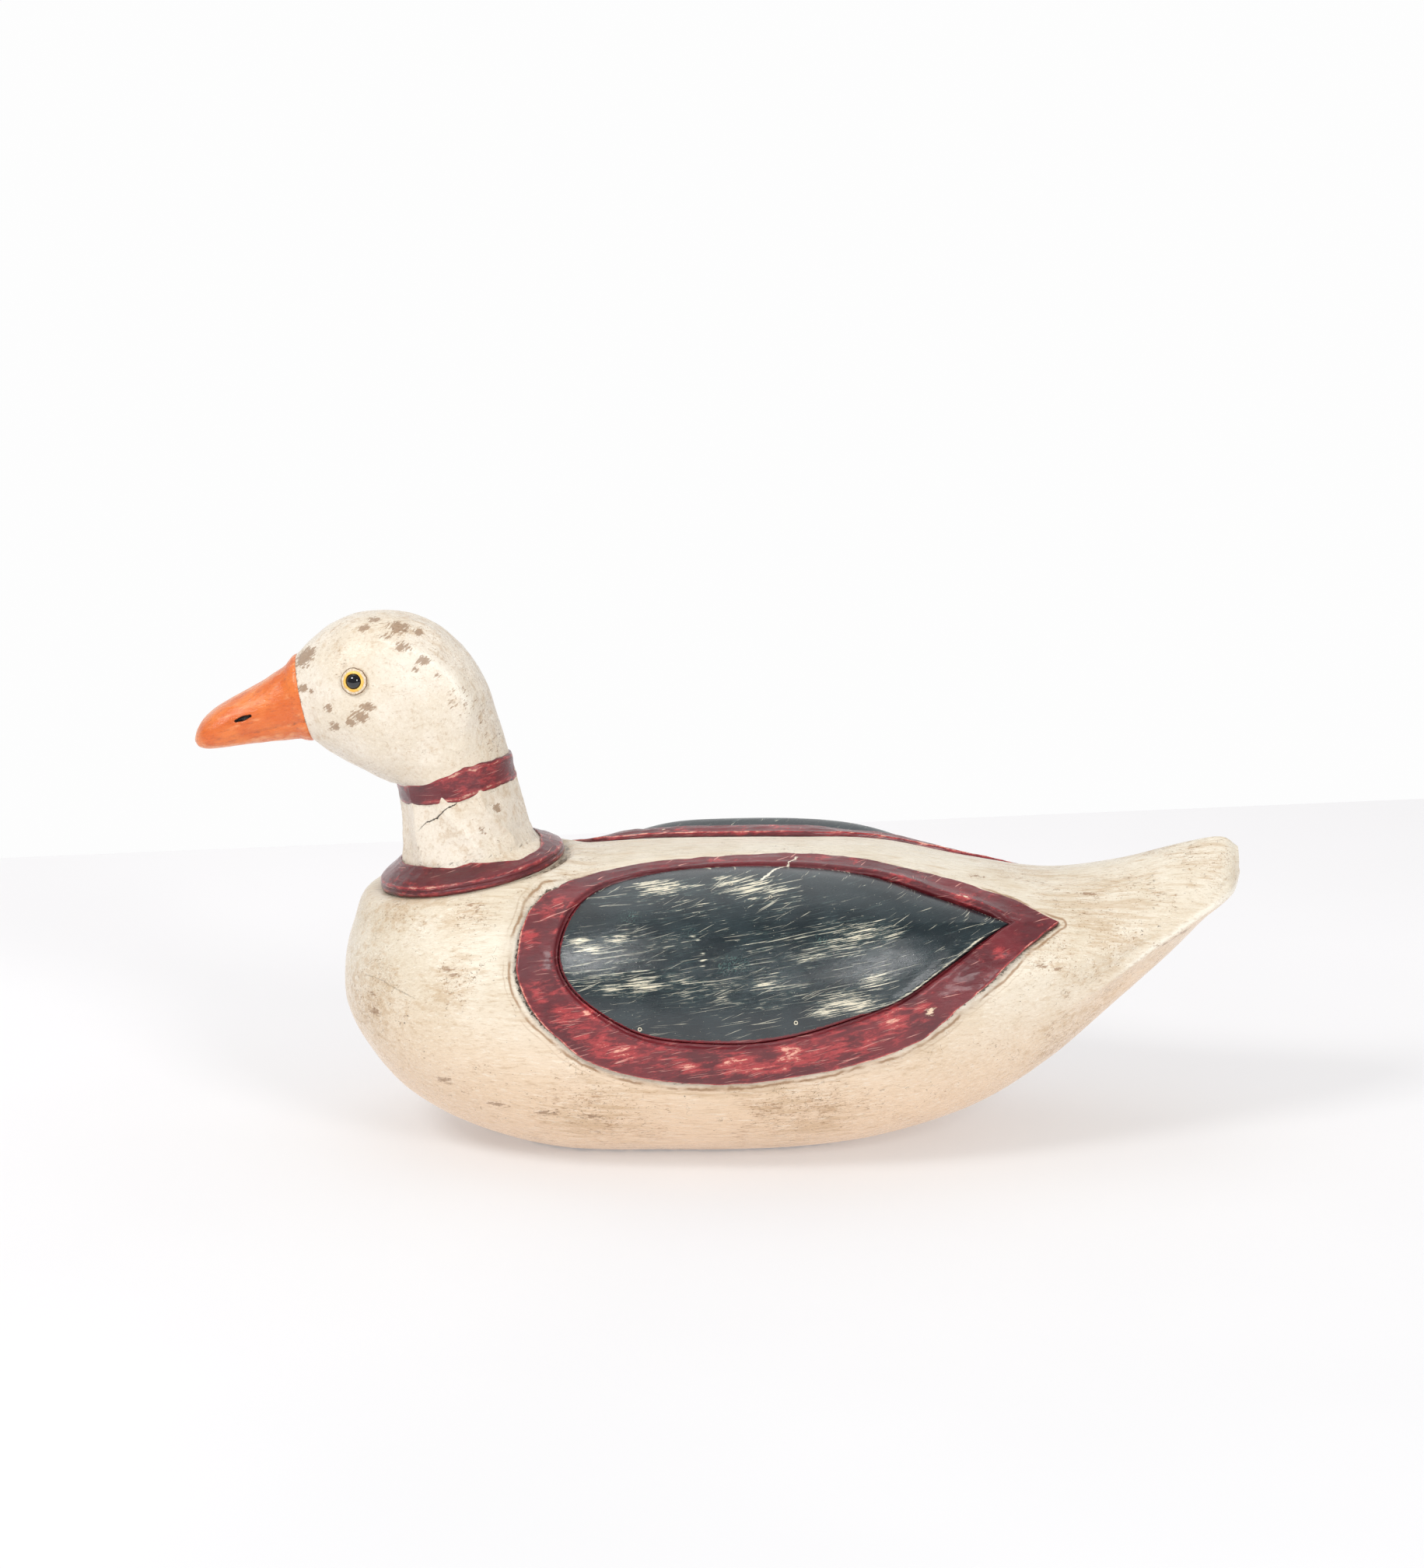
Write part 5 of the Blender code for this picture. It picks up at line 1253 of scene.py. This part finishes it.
def make_world():
    """A white room, brightest overhead; in gloss it is bright behind the duck and dim elsewhere."""
    world = bpy.data.worlds.new("studio")
    world.use_nodes = True
    tree = world.node_tree
    path = new_node(tree, "LightPath")
    split = new_node(tree, "SeparateXYZ")
    tree.links.new(new_node(tree, "TexCoord").outputs["Generated"], split.inputs[0])
    levels = []
    for axis, numbers in (("Z", (-0.2, 0.9, 0.42, 0.8)), ("Y", (-0.1, 0.8, 0.26, 0.95))):
        node = new_node(tree, "MapRange")
        tree.links.new(split.outputs[axis], node.inputs["Value"])
        for number, value in enumerate(numbers, start=1):
            node.inputs[number].default_value = value
        levels.append(node.outputs[0])
    level, mirrored = levels
    for share, value in (("Is Glossy Ray", mirrored), ("Is Camera Ray", 0.985)):
        mix = new_node(tree, "Mix")
        tree.links.new(path.outputs[share], mix.inputs[0])
        tree.links.new(level, mix.inputs[2])
        if share == "Is Glossy Ray":
            tree.links.new(value, mix.inputs[3])
        else:
            mix.inputs[3].default_value = value
        level = mix.outputs[0]
    background = tree.nodes["Background"]
    background.inputs["Color"].default_value = (1.0, 1.0, 1.0, 1.0)
    tree.links.new(level, background.inputs["Strength"])
    return world


def make_floor():
    """A plain pale floor that ends behind the duck. It glows a little, most where it is far away."""
    floor = bpy.data.meshes.new("floor")
    floor.from_pydata([(-2, -3, 0), (2, -3, 0), (2, 0.79, 0), (-2, 0.11, 0)], [], [(0, 1, 2, 3)])
    p = Paint("pale_floor")
    tone = p.noise(300, 3)
    p.put(p.shader.inputs["Emission Color"], (0.94, 0.90, 0.91))
    seen = new_node(p.tree, "LightPath").outputs["Is Camera Ray"]
    away = new_node(p.tree, "VectorMath", operation="DISTANCE")
    p.fill(away, p.place, (0.0, -0.7, 0.0))
    shown = p.span(away.outputs["Value"], 0.0, 1.2, 0.215, 0.395)
    # Painted light: the glow softens the floor's shadows, and in other rays it is stronger and lights the
    # duck from below.
    p.put(p.shader.inputs["Emission Strength"], p.span(seen, 0.0, 1.0, 0.52, shown))
    p.colour = p.blend(p.span(tone, 0.3, 0.7), (0.53, 0.535, 0.54), (0.55, 0.555, 0.56))
    floor.materials.append(p.finish(0.7, tone, 0.1, Specular_IOR_Level=0.2))
    thing = bpy.data.objects.new("floor", floor)
    bpy.context.scene.collection.objects.link(thing)


# Soft lights: name, place, size in metres and watts.
LIGHTS = (
    ("window_left", (-0.82, -0.76, 1.16), 0.42, 10), ("window_right", (0.71, -1.21, 0.79), 0.42, 9),
    ("top", (-0.2, 0.5, 1.7), 1.2, 3),
)
LENS = 81.95
LOOK_AT = Vector((-0.00184, 0, 0.1306))
CAMERA_PITCH = math.radians(13.5)
CAMERA_DISTANCE = 1.3


def make_stage():
    """The floor, the room, soft lights and the camera."""
    make_floor()
    bpy.context.scene.world = make_world()
    for name, spot, size, energy in LIGHTS:
        lamp = bpy.data.lights.new(name, "AREA")
        lamp.size = size
        lamp.energy = energy
        thing = bpy.data.objects.new(name, lamp)
        thing.location = spot
        thing.rotation_euler = (Vector((0, 0, 0.08)) - Vector(spot)).to_track_quat("-Z", "Y").to_euler()
        thing.visible_camera = False
        bpy.context.scene.collection.objects.link(thing)

    lens = bpy.data.cameras.new("camera")
    lens.sensor_width = 36
    lens.lens = LENS
    camera = bpy.data.objects.new("camera", lens)
    back = Vector((0, -math.cos(CAMERA_PITCH), math.sin(CAMERA_PITCH)))
    camera.location = LOOK_AT + CAMERA_DISTANCE * back
    camera.rotation_euler = (math.pi / 2 - CAMERA_PITCH, 0, 0)
    bpy.context.scene.collection.objects.link(camera)
    bpy.context.scene.camera = camera
    bpy.context.scene.view_settings.view_transform = "Standard"


body_cream = cream_paint("cream_body", BODY_TONES, 0.9, (9, 1, 1), -8, 0, grooved=True)
head_cream = cream_paint("cream_head", HEAD_TONES, 0.6, (1.6, 1, 1.6), -38, 20)
rim_red = red_paint("red_rim", (4, 2, 1), 0)
band_red = red_paint("red_band", (2.5, 2.5, 1), 30, 0.25)
panel_dark = dark_paint("dark_panel", 0)
bill_orange = orange_paint()
putty = putty_paint()
yellow = plain_paint(
    "yellow_paint", (0.85, 0.44, 0.05), (0.88, 0.58, 0.16), 1.6, 0.3, 0.08, darkening=(0.35, 0.18, 0.05))
glass = glass_paint()
nail = nail_paint()
brass = plain_paint("worn_brass", (0.50, 0.42, 0.28), (0.66, 0.58, 0.42), 0.8, 0.35, 0.05, 0.6)
steel = plain_paint("zinc_steel", (0.50, 0.50, 0.51), (0.62, 0.62, 0.62), 3, 0.3, 0.05, 1.0)
lead = plain_paint("cast_lead", (0.20, 0.20, 0.21), (0.30, 0.30, 0.32), 6, 0.45, 0.2, 1.0)
wood = plain_paint("bare_wood", (0.50, 0.34, 0.19), (0.60, 0.43, 0.26), 1.2, 0.5, 0.15, stretch=(6, 1, 1))

place(make_body(body_cream), "root", "body_block", "body_paint")
for side, label in SIDES:
    place(make_rim(side, label, rim_red), "root", "wing_rim_" + label, "rim_paint")
    place(make_panel(side, label, panel_dark), "root", "wing_panel_" + label, "panel_paint")
place(make_neck_post(head_cream), "head", "neck_post", "head_paint")
place(make_ring(band_red), "head", "neck_ring", "rim_paint")
place(make_collar(band_red), "head", "neck_collar", "rim_paint")
place(make_head(head_cream), "head", "head_block", "head_paint")
place(make_bill(bill_orange), "head", "bill", "bill_paint")
make_eyes(putty, yellow, glass)
make_pins(nail)
make_hardware(steel, lead, wood, brass)
make_stage()

bpy.context.view_layer.update()
